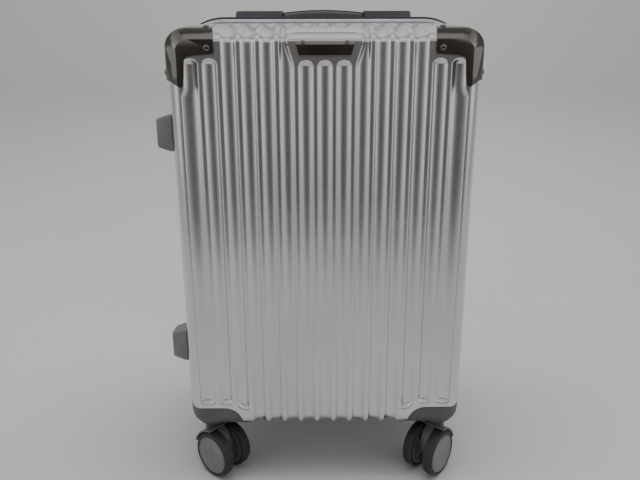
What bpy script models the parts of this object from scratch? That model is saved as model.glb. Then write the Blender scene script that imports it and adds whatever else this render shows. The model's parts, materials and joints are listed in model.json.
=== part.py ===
"""Hard shell cabin suitcase on four twin-wheel casters, in metres, +Z up.

The case stands on its casters with its front facing -Y. The zip seam lies in the plane Y = 0, and
the origin is on the floor under the middle of the case.
"""

import math

import bmesh
import bpy
from mathutils import Matrix, Vector

# Case body, measured at the zip seam
WIDTH = 0.344
DEPTH = 0.220
BODY_BOTTOM = 0.059
BODY_TOP = 0.540
CORNER_R = 0.055
WALL = 0.0055
RIM_Y = 0.008
GAP = 0.0003

# Ribs of the shells
GROOVES = 15
TOP_END = (0.4925, 0.487)
BADGE_END = (0.490, 0.4845)
BOTTOM_END = (0.1025, 0.108)
GROOVE_PITCH = 0.0195
GROOVE_DEPTH = 0.004
RIDGE_W = 0.0052

# The shoulder, from the seam to the flat face: how far behind the face, how far in from the seam's outline at the
# sides, the top and the bottom, and the angle of its surface
SHOULDER = (
    (0.070, 0.0019, 0.0057, 0.0022, 6),
    (0.035, 0.0048, 0.0123, 0.0056, 10),
    (0.016, 0.0088, 0.0180, 0.0095, 20),
    (0.006, 0.0142, 0.0232, 0.0158, 38),
    (0.0015, 0.0200, 0.0282, 0.0220, 62),
    (0.0, 0.0250, 0.0325, 0.0280, 90),
)

# Seam
PIPING_Y = (0.0045, 0.0105)
PIPING_PROUD = 0.005
ZIP_Y = (0.00015, 0.0077)
ZIP_INSET = (0.0, 0.004)
GUSSET_Z = (0.129, 0.483)

# Corner guards, badge and wheel housings
GUARD_T = 0.0015
GUARD_GAP = 0.0014
GUARD_ARM_X = 0.112
GUARD_ARM_Z = 0.4955
GUARD_LEG_X = 0.1415
GUARD_LEG_Z = 0.464
GUARD_DEPTH = 0.040
RIVET_R = 0.0032
HOUSING_X = 0.0985
HOUSING_Z = 0.097
HOUSING_Y = 0.044

# Casters
SWIVEL_X = 0.140
SWIVEL_Y = 0.078
WHEEL_R = 0.0285
HUB_R = 0.0240
WHEEL_IN = 0.0075
WHEEL_OUT = 0.0205
TRAIL = 0.0155
NECK_BOTTOM = 0.062
CASTER_TURN = {"front_left": 52.0, "front_right": -42.0, "rear_right": 232.0, "rear_left": 138.0}

# Feet and handles
FOOT_Z = {"upper": 0.417, "lower": 0.160}
FOOT_Y = 0.055
SIDE_REACH = 0.188
HANDLE_Y = 0.029
HANDLE_HALF = 0.106
HANDLE_GRIP_HALF = 0.0515
HANDLE_W = 0.028
HANDLE_H = {"top": 0.018, "side": 0.0125}
HANDLE_CROWN = {"top": 0.023, "side": 0.016}

# Telescopic handle
TUBE_X = 0.068
TUBE_Y = 0.084
TUBES = {"outer": (0.020, 0.014), "middle": (0.017, 0.011), "inner": (0.014, 0.008)}
TUBE_WALL = 0.0012
BEZEL_X = 0.095
BEZEL_Y = (0.064, 0.101)
BEZEL_Z = (0.505, 0.5345)
BEZEL_FLOOR = 0.517
GRIP_TOP = 0.543
TUBE_ENDS = {"middle": (0.095, 0.5167), "inner": (0.097, 0.5305)}

# Lock
LOCK_X = (0.160, 0.178)
LOCK_Y = (0.012, 0.038)
LOCK_Z = (0.430, 0.490)
DIAL_R = 0.0075
DIAL_Z = {"1": 0.451, "2": 0.459, "3": 0.467}
SLIDER_Z = {"upper": 0.469, "lower": 0.449}

ARC_STEPS = 4
FRONT, REAR = -1, 1
MID_Z = (BODY_BOTTOM + BODY_TOP) / 2


# ---------------------------------------------------------------- scene and materials


def clear_scene():
    for obj in list(bpy.data.objects):
        bpy.data.objects.remove(obj)


def material(name, colour, roughness, metallic=0.0):
    made = bpy.data.materials.new(name)
    made.use_nodes = True
    shader = made.node_tree.nodes["Principled BSDF"]
    shader.inputs["Base Color"].default_value = (*colour, 1.0)
    shader.inputs["Roughness"].default_value = roughness
    shader.inputs["Metallic"].default_value = metallic
    return made


def make_materials():
    return {
        "silver": material("silver_shell", (0.62, 0.62, 0.64), 0.28, 0.85),
        "chrome": material("dark_chrome", (0.16, 0.15, 0.14), 0.12, 1.0),
        "grey": material("grey_plastic", (0.16, 0.17, 0.19), 0.55),
        "piping": material("seam_piping", (0.42, 0.43, 0.46), 0.45),
        "zip": material("zip_tape", (0.02, 0.02, 0.022), 0.8),
        "zinc": material("zip_metal", (0.30, 0.31, 0.33), 0.35, 1.0),
        "fabric": material("lining_fabric", (0.08, 0.08, 0.09), 0.9),
        "tyre": material("tyre_rubber", (0.035, 0.033, 0.032), 0.7),
        "hub": material("hub_plastic", (0.15, 0.155, 0.15), 0.5),
        "tube": material("handle_tube", (0.55, 0.56, 0.58), 0.3, 1.0),
        "rubber": material("grip_rubber", (0.07, 0.07, 0.075), 0.65),
    }


def empty(name, location, parent=None):
    made = bpy.data.objects.new(name, None)
    bpy.context.scene.collection.objects.link(made)
    made.location = Vector(location) - (parent.matrix_world.translation if parent else Vector())
    made.parent = parent
    bpy.context.view_layer.update()
    return made


def place(solid, name, mat, parent):
    """Names a finished solid, gives it its material and hangs it on its body's empty."""
    solid.name = solid.data.name = name
    solid.data.materials.clear()
    solid.data.materials.append(mat)
    solid.data.transform(Matrix.Translation(-parent.matrix_world.translation))
    solid.parent = parent
    solid.data.shade_smooth()
    solid.data.set_sharp_from_angle(angle=math.radians(35))
    return solid


# ---------------------------------------------------------------- solids


def solid_from(verts, faces):
    """A closed solid from points and faces, with its faces turned outwards."""
    bm = bmesh.new()
    made = [bm.verts.new(v) for v in verts]
    for face in faces:
        bm.faces.new([made[i] for i in face])
    return solid_from_bmesh(bm)


def solid_from_bmesh(bm):
    bmesh.ops.recalc_face_normals(bm, faces=bm.faces)
    mesh = bpy.data.meshes.new("solid")
    bm.to_mesh(mesh)
    bm.free()
    made = bpy.data.objects.new("solid", mesh)
    bpy.context.scene.collection.objects.link(made)
    return made


def combine(target, operation, other):
    """Applies one exact Boolean and removes the second solid."""
    modifier = target.modifiers.new("combine", "BOOLEAN")
    modifier.operation = operation
    modifier.object = other
    graph = bpy.context.evaluated_depsgraph_get()
    mesh = bpy.data.meshes.new_from_object(target.evaluated_get(graph))
    target.modifiers.clear()
    target.data = mesh
    bpy.data.objects.remove(other)
    return target


def cut(target, *others):
    for other in others:
        combine(target, "DIFFERENCE", other)
    return target


def join(target, *others):
    for other in others:
        combine(target, "UNION", other)
    return target


def common(target, *others):
    for other in others:
        combine(target, "INTERSECT", other)
    return target


def box(x, y, z, bevel=0.0):
    """A box from three (low, high) pairs, with its edges bevelled if asked."""
    bm = bmesh.new()
    bmesh.ops.create_cube(bm, size=1.0)
    size = Vector((x[1] - x[0], y[1] - y[0], z[1] - z[0]))
    centre = Vector(((x[0] + x[1]) / 2, (y[0] + y[1]) / 2, (z[0] + z[1]) / 2))
    bmesh.ops.transform(bm, matrix=Matrix.Translation(centre) @ Matrix.Diagonal((*size, 1)), verts=bm.verts)
    if bevel:
        bmesh.ops.bevel(bm, geom=bm.edges, offset=bevel, segments=1, affect="EDGES")
    return solid_from_bmesh(bm)


def prism(outline, axis, low, high):
    """Extrudes a closed outline along an axis. The outline's two coordinates are the other two axes, in order."""
    count = len(outline)
    slot = "XYZ".index(axis)
    verts = []
    for level in (low, high):
        for pair in outline:
            point = list(pair)
            point.insert(slot, level)
            verts.append(point)
    faces = [list(range(count)), list(range(count, 2 * count))]
    faces += [[i, (i + 1) % count, count + (i + 1) % count, count + i] for i in range(count)]
    return solid_from(verts, faces)


def hull(points):
    bm = bmesh.new()
    for point in points:
        bm.verts.new(point)
    bmesh.ops.convex_hull(bm, input=bm.verts)
    return solid_from_bmesh(bm)


def disc(centre, axis, radius, low, high, steps=24):
    """A cylinder about an axis, from low to high along it. The centre holds the other two coordinates."""
    ring = [
        (centre[0] + radius * math.cos(a), centre[1] + radius * math.sin(a))
        for a in (2 * math.pi * i / steps for i in range(steps))
    ]
    return prism(ring, axis, low, high)


def lathe(profile, axis, centre, steps=24, capped=False):
    """Turns a profile of (radius, place along the axis) about an axis. The profile is a closed line, unless it is
    capped at its two ends. A radius of 0 makes a pole."""
    bm = bmesh.new()
    slot = "XYZ".index(axis)
    rings = []
    for radius, along in profile:
        ring = []
        for i in range(steps if radius else 1):
            a = 2 * math.pi * i / steps - math.pi / 2
            point = [centre[0] + radius * math.cos(a), centre[1] + radius * math.sin(a)]
            point.insert(slot, along)
            ring.append(bm.verts.new(point))
        rings.append(ring * steps if len(ring) == 1 else ring)
    for here, after in zip(rings, rings[1:] if capped else rings[1:] + rings[:1]):
        for i in range(steps):
            j = (i + 1) % steps
            corners = list(dict.fromkeys((here[i], here[j], after[j], after[i])))
            if len(corners) > 2:
                bm.faces.new(corners)
    if capped:
        bm.faces.new(rings[0])
        bm.faces.new(rings[-1])
    return solid_from_bmesh(bm)


# ---------------------------------------------------------------- the case's form


def outline(insets, columns, rows):
    """The seam's rounded rectangle, drawn in at its sides, top and bottom, as (x, z, run) points. Columns and rows
    are the points of its straight runs. The corner arcs keep their centres."""
    side, top, bottom = insets
    mid = WIDTH / 2 - CORNER_R
    low, high = BODY_BOTTOM + bottom, BODY_TOP - top
    arc_low, arc_high = BODY_BOTTOM + CORNER_R, BODY_TOP - CORNER_R

    def arc(x, z, start, height):
        steps = [math.radians(start + 90 * i / ARC_STEPS) for i in range(1, ARC_STEPS)]
        return [(x + (CORNER_R - side) * math.cos(a), z + height * math.sin(a), "arc") for a in steps]

    points = [(x, low, "level") for x in columns]
    points += arc(mid, arc_low, -90, CORNER_R - bottom)
    points += [(mid + CORNER_R - side, z, "side") for z in rows]
    points += arc(mid, arc_high, 0, CORNER_R - top)
    points += [(x, high, "level") for x in reversed(columns)]
    points += arc(-mid, arc_high, 90, CORNER_R - top)
    points += [(side - mid - CORNER_R, z, "side") for z in reversed(rows)]
    points += arc(-mid, arc_low, 180, CORNER_R - bottom)
    return points


def groove_edge_columns():
    """X of each groove's middle and of its two edges, between the corner arcs."""
    edge = (GROOVE_PITCH - RIDGE_W) / 2
    last = round((WIDTH / 2 - CORNER_R) / GROOVE_PITCH)
    columns = []
    for k in range(-last, last + 1):
        middle = k * GROOVE_PITCH
        columns += [middle - edge] * (k > -last) + [middle] + [middle + edge] * (k < last)
    return columns


def ramp(value, start, end):
    return min(1.0, max(0.0, (value - start) / (end - start)))


def groove_depth(x, z):
    """How deep a groove is at a point. Grooves stop short of the guards, the badge and the wheel housings."""
    k = round(x / GROOVE_PITCH)
    if abs(k) > GROOVES // 2:
        return 0.0
    edge = (GROOVE_PITCH - RIDGE_W) / 2
    across = max(0.0, 1 - abs(x - k * GROOVE_PITCH) / edge)
    top = 1.0
    if abs(k) >= 6:
        top = ramp(z, *TOP_END)
    elif abs(k) <= 1:
        top = ramp(z, *BADGE_END)
    bottom = ramp(z, *BOTTOM_END) if abs(k) >= 5 else 1.0
    return GROOVE_DEPTH * across * min(top, bottom)


def half_profile(offset, rim_y):
    """(insets, depth, angle, share of groove depth) from the rim to the edge of the flat face."""
    points = [((offset,) * 3, rim_y, 0.0, 0.0), ((offset,) * 3, 0.014, 0.0, 0.0)]
    for back, side, top, bottom, degrees in SHOULDER:
        a = math.radians(degrees)
        inward = offset * math.cos(a)
        insets = (side + inward, top + inward, bottom + inward)
        points.append((insets, DEPTH / 2 - back - offset * math.sin(a), a, 1.0))
    return points


def half_case(side, offset=0.0, rim_y=RIM_Y, grooved=False, level_grooves=True):
    """A solid half of the case, from its rim to its flat face. Offset moves its surface inwards."""
    mid = WIDTH / 2 - CORNER_R
    columns = groove_edge_columns() if grooved else [-mid, mid]
    rows = [BODY_BOTTOM + CORNER_R, BODY_TOP - CORNER_R]
    profile = half_profile(offset, rim_y)
    edge_insets, depth = profile[-1][0], profile[-1][1]
    edge = (GROOVE_PITCH - RIDGE_W) / 2
    outer = GROOVES // 2 * GROOVE_PITCH
    lines = (outer, outer - edge, outer - edge - RIDGE_W) if grooved else ()
    for x in lines + (mid,):
        share = (mid + CORNER_R - edge_insets[0] - x) / (CORNER_R - edge_insets[0])
        profile.append((tuple(i + share * (CORNER_R - i) for i in edge_insets), depth, math.pi / 2, 1.0))

    bm = bmesh.new()
    made = {}

    def vertex(x, depth_here, z, run, angle, share):
        if grooved:
            flat = angle > math.pi / 2 - 0.01
            dent = groove_depth(x, z) if flat or run == "level" else 0.0
            if not flat:
                dent *= share if level_grooves else ramp(math.degrees(angle), 0, 30)
            up = 0 if run != "level" else (1 if z > MID_Z else -1)
            depth_here -= dent * math.sin(angle)
            z -= dent * math.cos(angle) * up
        key = (round(x, 6), round(depth_here, 6), round(z, 6))
        if key not in made:
            made[key] = bm.verts.new((x, side * depth_here, z))
        return made[key]

    def face(corners):
        corners = list(dict.fromkeys(corners))
        if len(corners) > 2 and not bm.faces.get(corners):
            bm.faces.new(corners)

    rings = [
        [vertex(x, depth_here, z, run, angle, share) for x, z, run in outline(inset_here, columns, rows)]
        for inset_here, depth_here, angle, share in profile
    ]
    for here, after in zip(rings, rings[1:]):
        for i in range(len(here)):
            j = (i + 1) % len(here)
            face([here[i], here[j], after[j], after[i]])
    bm.faces.new(rings[0])
    grid = [[vertex(x, depth, z, "flat", math.pi / 2, 1.0) for x in columns] for z in rows]
    for low, high in zip(grid, grid[1:]):
        for i in range(len(columns) - 1):
            face([low[i], low[i + 1], high[i + 1], high[i]])
    bmesh.ops.triangulate(bm, faces=[f for f in bm.faces if len(f.verts) == 4])
    return solid_from_bmesh(bm)


def band(section, opening=None):
    """A strip round the seam with a section of (inset, y) points. An opening of (low z, high z) leaves a gap
    in its left side."""
    mid = WIDTH / 2 - CORNER_R
    rows = [BODY_BOTTOM + CORNER_R, BODY_TOP - CORNER_R]
    paths = []
    for inset, y in section:
        path = [(x, y, z) for x, z, _ in outline((inset,) * 3, [-mid, mid], rows)]
        if opening:
            left = len(path) - ARC_STEPS
            x = -(WIDTH / 2 - inset)
            path = path[left + 1 :] + path[: left - 1] + [(x, y, path[left - 1][2])]
            path = [(x, y, opening[0]), (x, y, rows[0])] + path[: -1] + [(x, y, rows[1]), (x, y, opening[1])]
        paths.append(path)
    count, length = len(section), len(paths[0])
    verts = [path[i] for i in range(length) for path in paths]
    faces = []
    for i in range(length if not opening else length - 1):
        j = (i + 1) % length
        for k in range(count):
            m = (k + 1) % count
            faces.append([i * count + k, i * count + m, j * count + m, j * count + k])
    if opening:
        faces.append(list(range(count)))
        faces.append(list(range((length - 1) * count, length * count)))
    return solid_from(verts, faces)


# ---------------------------------------------------------------- shells and their fittings


def housing_region(side_x, side_y, grow):
    """The corner block that a wheel housing fills: its front and side edges sweep down to the case's underside."""

    def sweep(inner, outer):
        top = HOUSING_Z + grow
        return [
            (outer, 0.050),
            (inner - grow, 0.050),
            (inner - grow, 0.075),
            (inner + 0.003, 0.087 + grow),
            (inner + 0.009, 0.095 + grow),
            (inner + 0.016, top),
            (outer - 0.018, top),
            (outer, top + 0.006),
        ]

    across = [(side_x * x, z) for x, z in sweep(HOUSING_X, WIDTH / 2 + 0.004)]
    along = [(side_y * y, z) for y, z in sweep(HOUSING_Y, DEPTH / 2 + 0.004)]
    block = prism(across, "Y", *sorted((0.02 * side_y, 0.13 * side_y)))
    return common(block, prism(along, "X", *sorted((0.05 * side_x, 0.19 * side_x))))


def wheel_housing(side_x, side_y):
    """A moulded corner with 3 mm walls, open above, and a boss that holds the caster's stem."""
    shape = common(housing_region(side_x, side_y, -GAP), half_case(side_y))
    x = sorted((side_x * (HOUSING_X + 0.004), side_x * 0.2))
    y = sorted((side_y * (HOUSING_Y + 0.004), side_y * 0.2))
    hollow = common(box(x, y, (BODY_BOTTOM + 0.010, 0.12)), half_case(side_y, 0.004, 0.01))
    cut(shape, hollow)
    centre = (side_x * SWIVEL_X, side_y * SWIVEL_Y)
    levels = ((0.0165, 0.0915), (0.0165, 0.083), (0.0125, 0.069), (0.0105, NECK_BOTTOM))
    join(shape, lathe(levels, "Z", centre, 20, capped=True))
    return cut(shape, disc(centre, "Z", 0.0055, 0.04, 0.0895, 16))


def lining_block(side_x, side_y, grow):
    x = (side_x * (HOUSING_X - grow), side_x * 0.19)
    y = (side_y * (HOUSING_Y - grow), side_y * 0.13)
    return box(sorted(x), sorted(y), (0.05, HOUSING_Z + 0.007 + grow))


def lining(side, floor_y):
    """The fabric lining: a thin bowl inside the shell that steps over the wheel housings."""

    def cavity(offset, rim_y, grow, floor):
        room = half_case(side, offset, rim_y)
        common(room, box((-0.2, 0.2), sorted((0, side * floor)), (0, 0.6)))
        blocks = [lining_block(sx, side, grow) for sx in (-1, 1)]
        if side == REAR:
            y = (LOCK_Y[0] - grow, LOCK_Y[1] + grow)
            z = (LOCK_Z[0] - grow, LOCK_Z[1] + grow)
            blocks.append(box((LOCK_X[0] - grow, 0.2), y, z))
            blocks.append(box((-BEZEL_X - grow, BEZEL_X + grow), (BEZEL_Y[0] - grow, 0.2), (BEZEL_Z[0] - grow, 0.6)))
        return cut(room, *blocks)

    outer = cavity(WALL + 0.0005, RIM_Y + 0.002, 0.0005, floor_y)
    return cut(outer, cavity(WALL + 0.0017, 0.002, 0.0017, floor_y - 0.0012))


def shell(side):
    made = half_case(side, grooved=True, level_grooves=side == FRONT)
    cut(made, half_case(side, WALL, 0.004))
    for side_x in (-1, 1):
        cut(made, housing_region(side_x, side, 0.0))
    if side == REAR:
        opening = GAP
        x = (-BEZEL_X - opening, BEZEL_X + opening)
        cut(made, box(x, (BEZEL_Y[0] - opening, BEZEL_Y[1] + opening), (0.49, 0.56)))
        y = (LOCK_Y[0] - opening, LOCK_Y[1] + opening)
        cut(made, box((0.15, 0.19), y, (LOCK_Z[0] - opening, LOCK_Z[1] + opening)))
    return made


def skin(side):
    """A skin 1.5 mm thick that stands just clear of the shell, from which guards and the badge are cut."""
    return cut(half_case(side, -GUARD_GAP - GUARD_T), half_case(side, -GUARD_GAP, 0.004))


def corner_guard(side_x, side):
    """A bent corner plate with an arm along the top, a leg down the corner, and its rivets."""
    y = sorted((side * (DEPTH / 2 - GUARD_DEPTH), side * 0.13))
    arm = box(sorted((side_x * GUARD_ARM_X, side_x * 0.19)), y, (GUARD_ARM_Z, 0.56))
    leg = box(sorted((side_x * GUARD_LEG_X, side_x * 0.19)), y, (GUARD_LEG_Z, 0.56))
    made = common(skin(side), join(arm, leg))
    face_y = side * (DEPTH / 2 + GUARD_GAP)
    top_z = BODY_TOP - 0.0112
    side_face = WIDTH / 2 - 0.0037
    front = disc((side_x * 0.118, 0.5015), "Y", RIVET_R, *sorted((face_y, face_y + side * 0.0027)), 8)
    top = disc((side_x * 0.121, side * 0.080), "Z", RIVET_R, top_z, top_z + 0.003, 8)
    flank = disc((side * 0.082, 0.479), "X", RIVET_R, *sorted((side_x * side_face, side_x * (side_face + 0.003))), 8)
    return join(made, front, top, flank)


def badge():
    """A plain trapezoid plate that bends over the case's top front edge, with two rivets."""
    region = prism([(-0.032, 0.5185), (-0.0262, 0.4943), (0.0262, 0.4943), (0.032, 0.5185)], "Y", -0.13, -0.09)
    made = common(skin(FRONT), region)
    for x in (-0.022, 0.022):
        join(made, disc((x, 0.501), "Y", 0.0025, -DEPTH / 2 - 0.0033, -DEPTH / 2 - GUARD_GAP, 8))
    return made


def foot(side, z):
    """A tapered stand-off on the left side, for resting the case on its side."""
    base = [(-0.166, side * (FOOT_Y + y), z + h) for y in (-0.016, 0.016) for h in (-0.021, 0.021)]
    tip = [(-SIDE_REACH, side * (FOOT_Y + y), z + h) for y in (-0.012, 0.012) for h in (-0.016, 0.015)]
    return cut(hull(base + tip), half_case(side, -GAP, 0.004))


# ---------------------------------------------------------------- carry handles


def handle_to_case(place_on):
    """Turns a handle's own axes (length, across, outwards) into the case's, on its top or its right side."""
    if place_on == "top":
        return Matrix.Translation((0, HANDLE_Y, BODY_TOP))
    turn = Matrix(((0, 0, 1, 0), (0, 1, 0, 0), (-1, 0, 0, 0), (0, 0, 0, 1)))
    return Matrix.Translation((WIDTH / 2, HANDLE_Y, MID_Z)) @ turn


def handle_base(place_on):
    """Two hollow end blocks on one thin plate. The grip's tongues slide in the blocks."""
    half_w = HANDLE_W / 2
    height = HANDLE_H[place_on]
    plate = box((-0.056, 0.056), (-0.012, 0.012), (-0.010, 0.0022))
    for side in (-1, 1):
        x = sorted((side * (HANDLE_GRIP_HALF + 0.0005), side * HANDLE_HALF))
        block = box(x, (-half_w, half_w), (-0.010, height), 0.0015)
        x = sorted((side * (HANDLE_GRIP_HALF - 0.002), side * 0.092))
        join(plate, cut(block, box(x, (-0.009, 0.009), (0.0025, height - 0.0022))))
    plate.data.transform(handle_to_case(place_on))
    return cut(plate, half_case(REAR, -GAP, 0.004))


def handle_grip(place_on):
    """A bowed bar with a flat tongue at each end."""
    steps = 8
    end = HANDLE_GRIP_HALF
    crown = HANDLE_CROWN[place_on]
    across = [1 - 2 * i / steps for i in range(steps + 1)]
    upper = [(end * x, crown - 0.004 * x * x) for x in across]
    lower = [(-end, 0.0030), (-0.038, 0.0030), (-0.026, 0.0085), (0.026, 0.0085), (0.038, 0.0030), (end, 0.0030)]
    bar = prism(upper + lower, "Y", -HANDLE_W / 2 + 0.001, HANDLE_W / 2 - 0.001)
    tongue = box((-0.088, 0.088), (-0.008, 0.008), (0.0031, 0.0064))
    slot = box((-0.0379, 0.0379), (-0.02, 0.02), (0.0, 0.0085))
    grip = join(bar, cut(tongue, slot))
    grip.data.transform(handle_to_case(place_on))
    return grip


# ---------------------------------------------------------------- telescopic handle


def tube_block(side, size, low, high, grow=0.0):
    half_x, half_y = size[0] / 2 + grow, size[1] / 2 + grow
    x = side * TUBE_X
    bevel = 0.002
    ring = [
        (x - half_x + bevel, TUBE_Y - half_y),
        (x + half_x - bevel, TUBE_Y - half_y),
        (x + half_x, TUBE_Y - half_y + bevel),
        (x + half_x, TUBE_Y + half_y - bevel),
        (x + half_x - bevel, TUBE_Y + half_y),
        (x - half_x + bevel, TUBE_Y + half_y),
        (x - half_x, TUBE_Y + half_y - bevel),
        (x - half_x, TUBE_Y - half_y + bevel),
    ]
    return prism(ring, "Z", low, high)


def tube(side, name, low, high):
    """One hollow tube, open at both ends."""
    return cut(tube_block(side, TUBES[name], low, high), tube_block(side, TUBES[name], low - 0.01, high + 0.01, -TUBE_WALL))


def trolley_frame():
    """The two fixed tubes and the bracket that ties their lower ends to the shell."""
    bracket = box((-0.084, 0.084), (0.0755, 0.0925), (0.075, 0.091), 0.002)
    for side in (-1, 1):
        cut(bracket, tube_block(side, TUBES["outer"], 0.079, 0.105, -TUBE_WALL))
    for side in (-1, 1):
        join(bracket, tube(side, "outer", 0.085, BEZEL_Z[0] - GAP))
    return bracket


def trolley_bezel():
    """The tray in the case's top that the grip sinks into, with a hole for each tube."""
    made = box((-BEZEL_X, BEZEL_X), BEZEL_Y, BEZEL_Z, 0.0015)
    cut(made, box((-0.090, 0.090), (0.068, 0.097), (BEZEL_FLOOR, 0.56)))
    for side in (-1, 1):
        cut(made, tube_block(side, TUBES["middle"], 0.49, 0.54, GAP))
    return made


def trolley_grip():
    made = box((-0.087, 0.087), (0.0705, 0.0945), (BEZEL_FLOOR + 0.001, GRIP_TOP), 0.004)
    cut(made, box((-0.018, 0.018), (0.078, 0.087), (GRIP_TOP - 0.0085, 0.56)))
    for side in (-1, 1):
        cut(made, tube_block(side, TUBES["inner"], 0.50, 0.531, GAP))
    return made


def trolley_button():
    return box((-0.0176, 0.0176), (0.0784, 0.0866), (GRIP_TOP - 0.005, GRIP_TOP + 0.0025), 0.001)


# ---------------------------------------------------------------- lock and zip


def lock_body():
    """The combination lock's case, with a window and a spindle for its three dials."""
    made = box(LOCK_X, LOCK_Y, LOCK_Z, 0.001)
    for z in DIAL_Z.values():
        cut(made, box((0.163, 0.182), (0.0168, 0.0332), (z - 0.0028, z + 0.0028)))
    return join(made, disc((0.1723, 0.025), "Z", 0.0016, 0.446, 0.472, 8))


def lock_dial(z):
    ring = disc((0.1723, 0.025), "Z", DIAL_R, z - 0.0024, z + 0.0024, 20)
    return cut(ring, disc((0.1723, 0.025), "Z", 0.0020, z - 0.01, z + 0.01, 8))


def zip_slider(z):
    """A slider on the zip's outside with its pull lying towards the lock."""
    body = box((0.1725, 0.1765), (-0.0038, 0.0038), (z - 0.006, z + 0.006), 0.0008)
    post = box((0.1760, 0.1792), (-0.0020, 0.0020), (z - 0.003, z + 0.003))
    pull = box((0.1784, 0.1800), (-0.0030, 0.0140), (z - 0.004, z + 0.004), 0.0005)
    return join(body, post, pull)


# ---------------------------------------------------------------- casters


def caster_turn(corner):
    """Where a caster stands and which way it trails. Its own axes are X along the axle and -Y along the trail."""
    side_y = FRONT if corner.startswith("front") else REAR
    side_x = -1 if corner.endswith("left") else 1
    centre = Vector((side_x * SWIVEL_X, side_y * SWIVEL_Y, 0))
    return Matrix.Translation(centre) @ Matrix.Rotation(math.radians(CASTER_TURN[corner]), 4, "Z")


def caster_fork(corner):
    """Stem, swivel boss, single leg, axle and the fender over the wheels, in one moulding."""
    leg = [(0.009, 0.059), (0.009, 0.051), (0.003, 0.039), (-0.005, 0.026), (-0.009, 0.0205), (-0.0155, 0.0185)]
    leg += [(-0.0220, 0.0205), (-0.0260, 0.026), (-0.0275, 0.037), (-0.0255, 0.048), (-0.0165, 0.057)]
    made = prism(leg, "X", -0.006, 0.006)
    join(made, disc((0, 0), "Z", 0.0105, 0.0545, NECK_BOTTOM - 0.001, 16))
    join(made, disc((0, 0), "Z", 0.005, 0.058, 0.087, 12))
    sweep = [math.radians(a) for a in range(35, 116, 20)]
    fender = []
    for radius, angles in ((WHEEL_R + 0.0029, sweep), (WHEEL_R + 0.0013, sweep[::-1])):
        fender += [(-TRAIL + radius * math.cos(a), WHEEL_R + radius * math.sin(a)) for a in angles]
    join(made, prism(fender, "X", -0.0195, 0.0195))
    join(made, disc((-TRAIL, WHEEL_R), "X", 0.003, -0.0185, 0.0185, 12))
    made.data.transform(caster_turn(corner))
    return made


def wheel_part(corner, side, profile):
    made = lathe([(radius, side * x) for x, radius in profile], "X", (-TRAIL, WHEEL_R))
    made.data.transform(caster_turn(corner))
    return made


def tyre_profile():
    low, high = WHEEL_IN - 0.0003, WHEEL_OUT - 0.0003
    inner = HUB_R + GAP
    shoulder = WHEEL_R - 0.002
    ring = [(low, inner), (low, shoulder), (low + 0.003, WHEEL_R), (high - 0.004, WHEEL_R), (high, shoulder)]
    return ring + [(high, inner)]


def hub_profile():
    """The bore is blind, so the outer face is a closed cap."""
    bore = 0.0033
    outer = [(WHEEL_IN, bore), (WHEEL_IN, HUB_R), (WHEEL_OUT - 0.0008, HUB_R), (WHEEL_OUT, HUB_R - 0.002)]
    return outer + [(WHEEL_OUT, 0), (0.019, 0), (0.019, bore)]


# ---------------------------------------------------------------- assembly


def build_half(side, name, body, mats):
    place(shell(side), f"{name}_shell", mats["silver"], body)
    piping = [(-GAP, side * PIPING_Y[0]), (-PIPING_PROUD, side * (PIPING_Y[0] + 0.001))]
    piping += [(-PIPING_PROUD, side * (PIPING_Y[1] - 0.001)), (-GAP, side * PIPING_Y[1])]
    place(band(piping), f"{name}_piping", mats["piping"], body)
    tape = [(inset, side * y) for inset, y in zip((ZIP_INSET[0],) * 2 + (ZIP_INSET[1],) * 2, ZIP_Y + ZIP_Y[::-1])]
    place(band(tape, GUSSET_Z), f"{name}_zip_tape", mats["zip"], body)
    floor = DEPTH / 2 - WALL - 0.0005 if side == FRONT else 0.0735
    place(lining(side, floor), f"{name}_lining", mats["fabric"], body)
    for side_x, label in ((-1, "left"), (1, "right")):
        place(corner_guard(side_x, side), f"{name}_corner_guard_{label}", mats["chrome"], body)
        place(wheel_housing(side_x, side), f"{name}_wheel_housing_{label}", mats["grey"], body)
    for label, z in FOOT_Z.items():
        place(foot(side, z), f"{name}_foot_{label}", mats["grey"], body)


def build_caster(corner, case, mats):
    turn = caster_turn(corner)
    swivel = empty(f"swivel_{corner}", turn.translation, case)
    place(caster_fork(corner), f"caster_fork_{corner}", mats["grey"], swivel)
    axle = turn @ Vector((0, -TRAIL, WHEEL_R))
    for side, label in ((-1, "a"), (1, "b")):
        spin = empty(f"axle_{corner}_{label}", axle, swivel)
        place(wheel_part(corner, side, hub_profile()), f"wheel_hub_{corner}_{label}", mats["hub"], spin)
        place(wheel_part(corner, side, tyre_profile()), f"tyre_{corner}_{label}", mats["tyre"], spin)


def build_trolley(case, mats):
    place(trolley_frame(), "trolley_outer_frame", mats["tube"], case)
    place(trolley_bezel(), "trolley_bezel", mats["grey"], case)
    lower = empty("trolley_lower_stage", (0, TUBE_Y, BEZEL_FLOOR), case)
    upper = empty("trolley_upper_stage", (0, TUBE_Y, BEZEL_FLOOR), lower)
    for side, label in ((-1, "left"), (1, "right")):
        for name, stage in (("middle", lower), ("inner", upper)):
            place(tube(side, name, *TUBE_ENDS[name]), f"trolley_{name}_tube_{label}", mats["tube"], stage)
    place(trolley_grip(), "trolley_grip", mats["rubber"], upper)
    press = empty("trolley_button_press", (0, TUBE_Y, GRIP_TOP), upper)
    place(trolley_button(), "trolley_button", mats["grey"], press)


def build_carry_handles(case, mats):
    for name in ("top", "side"):
        place(handle_base(name), f"{name}_handle_base", mats["grey"], case)
        lift = empty(f"{name}_handle_lift", handle_to_case(name).translation, case)
        place(handle_grip(name), f"{name}_handle_grip", mats["rubber"], lift)


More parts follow.
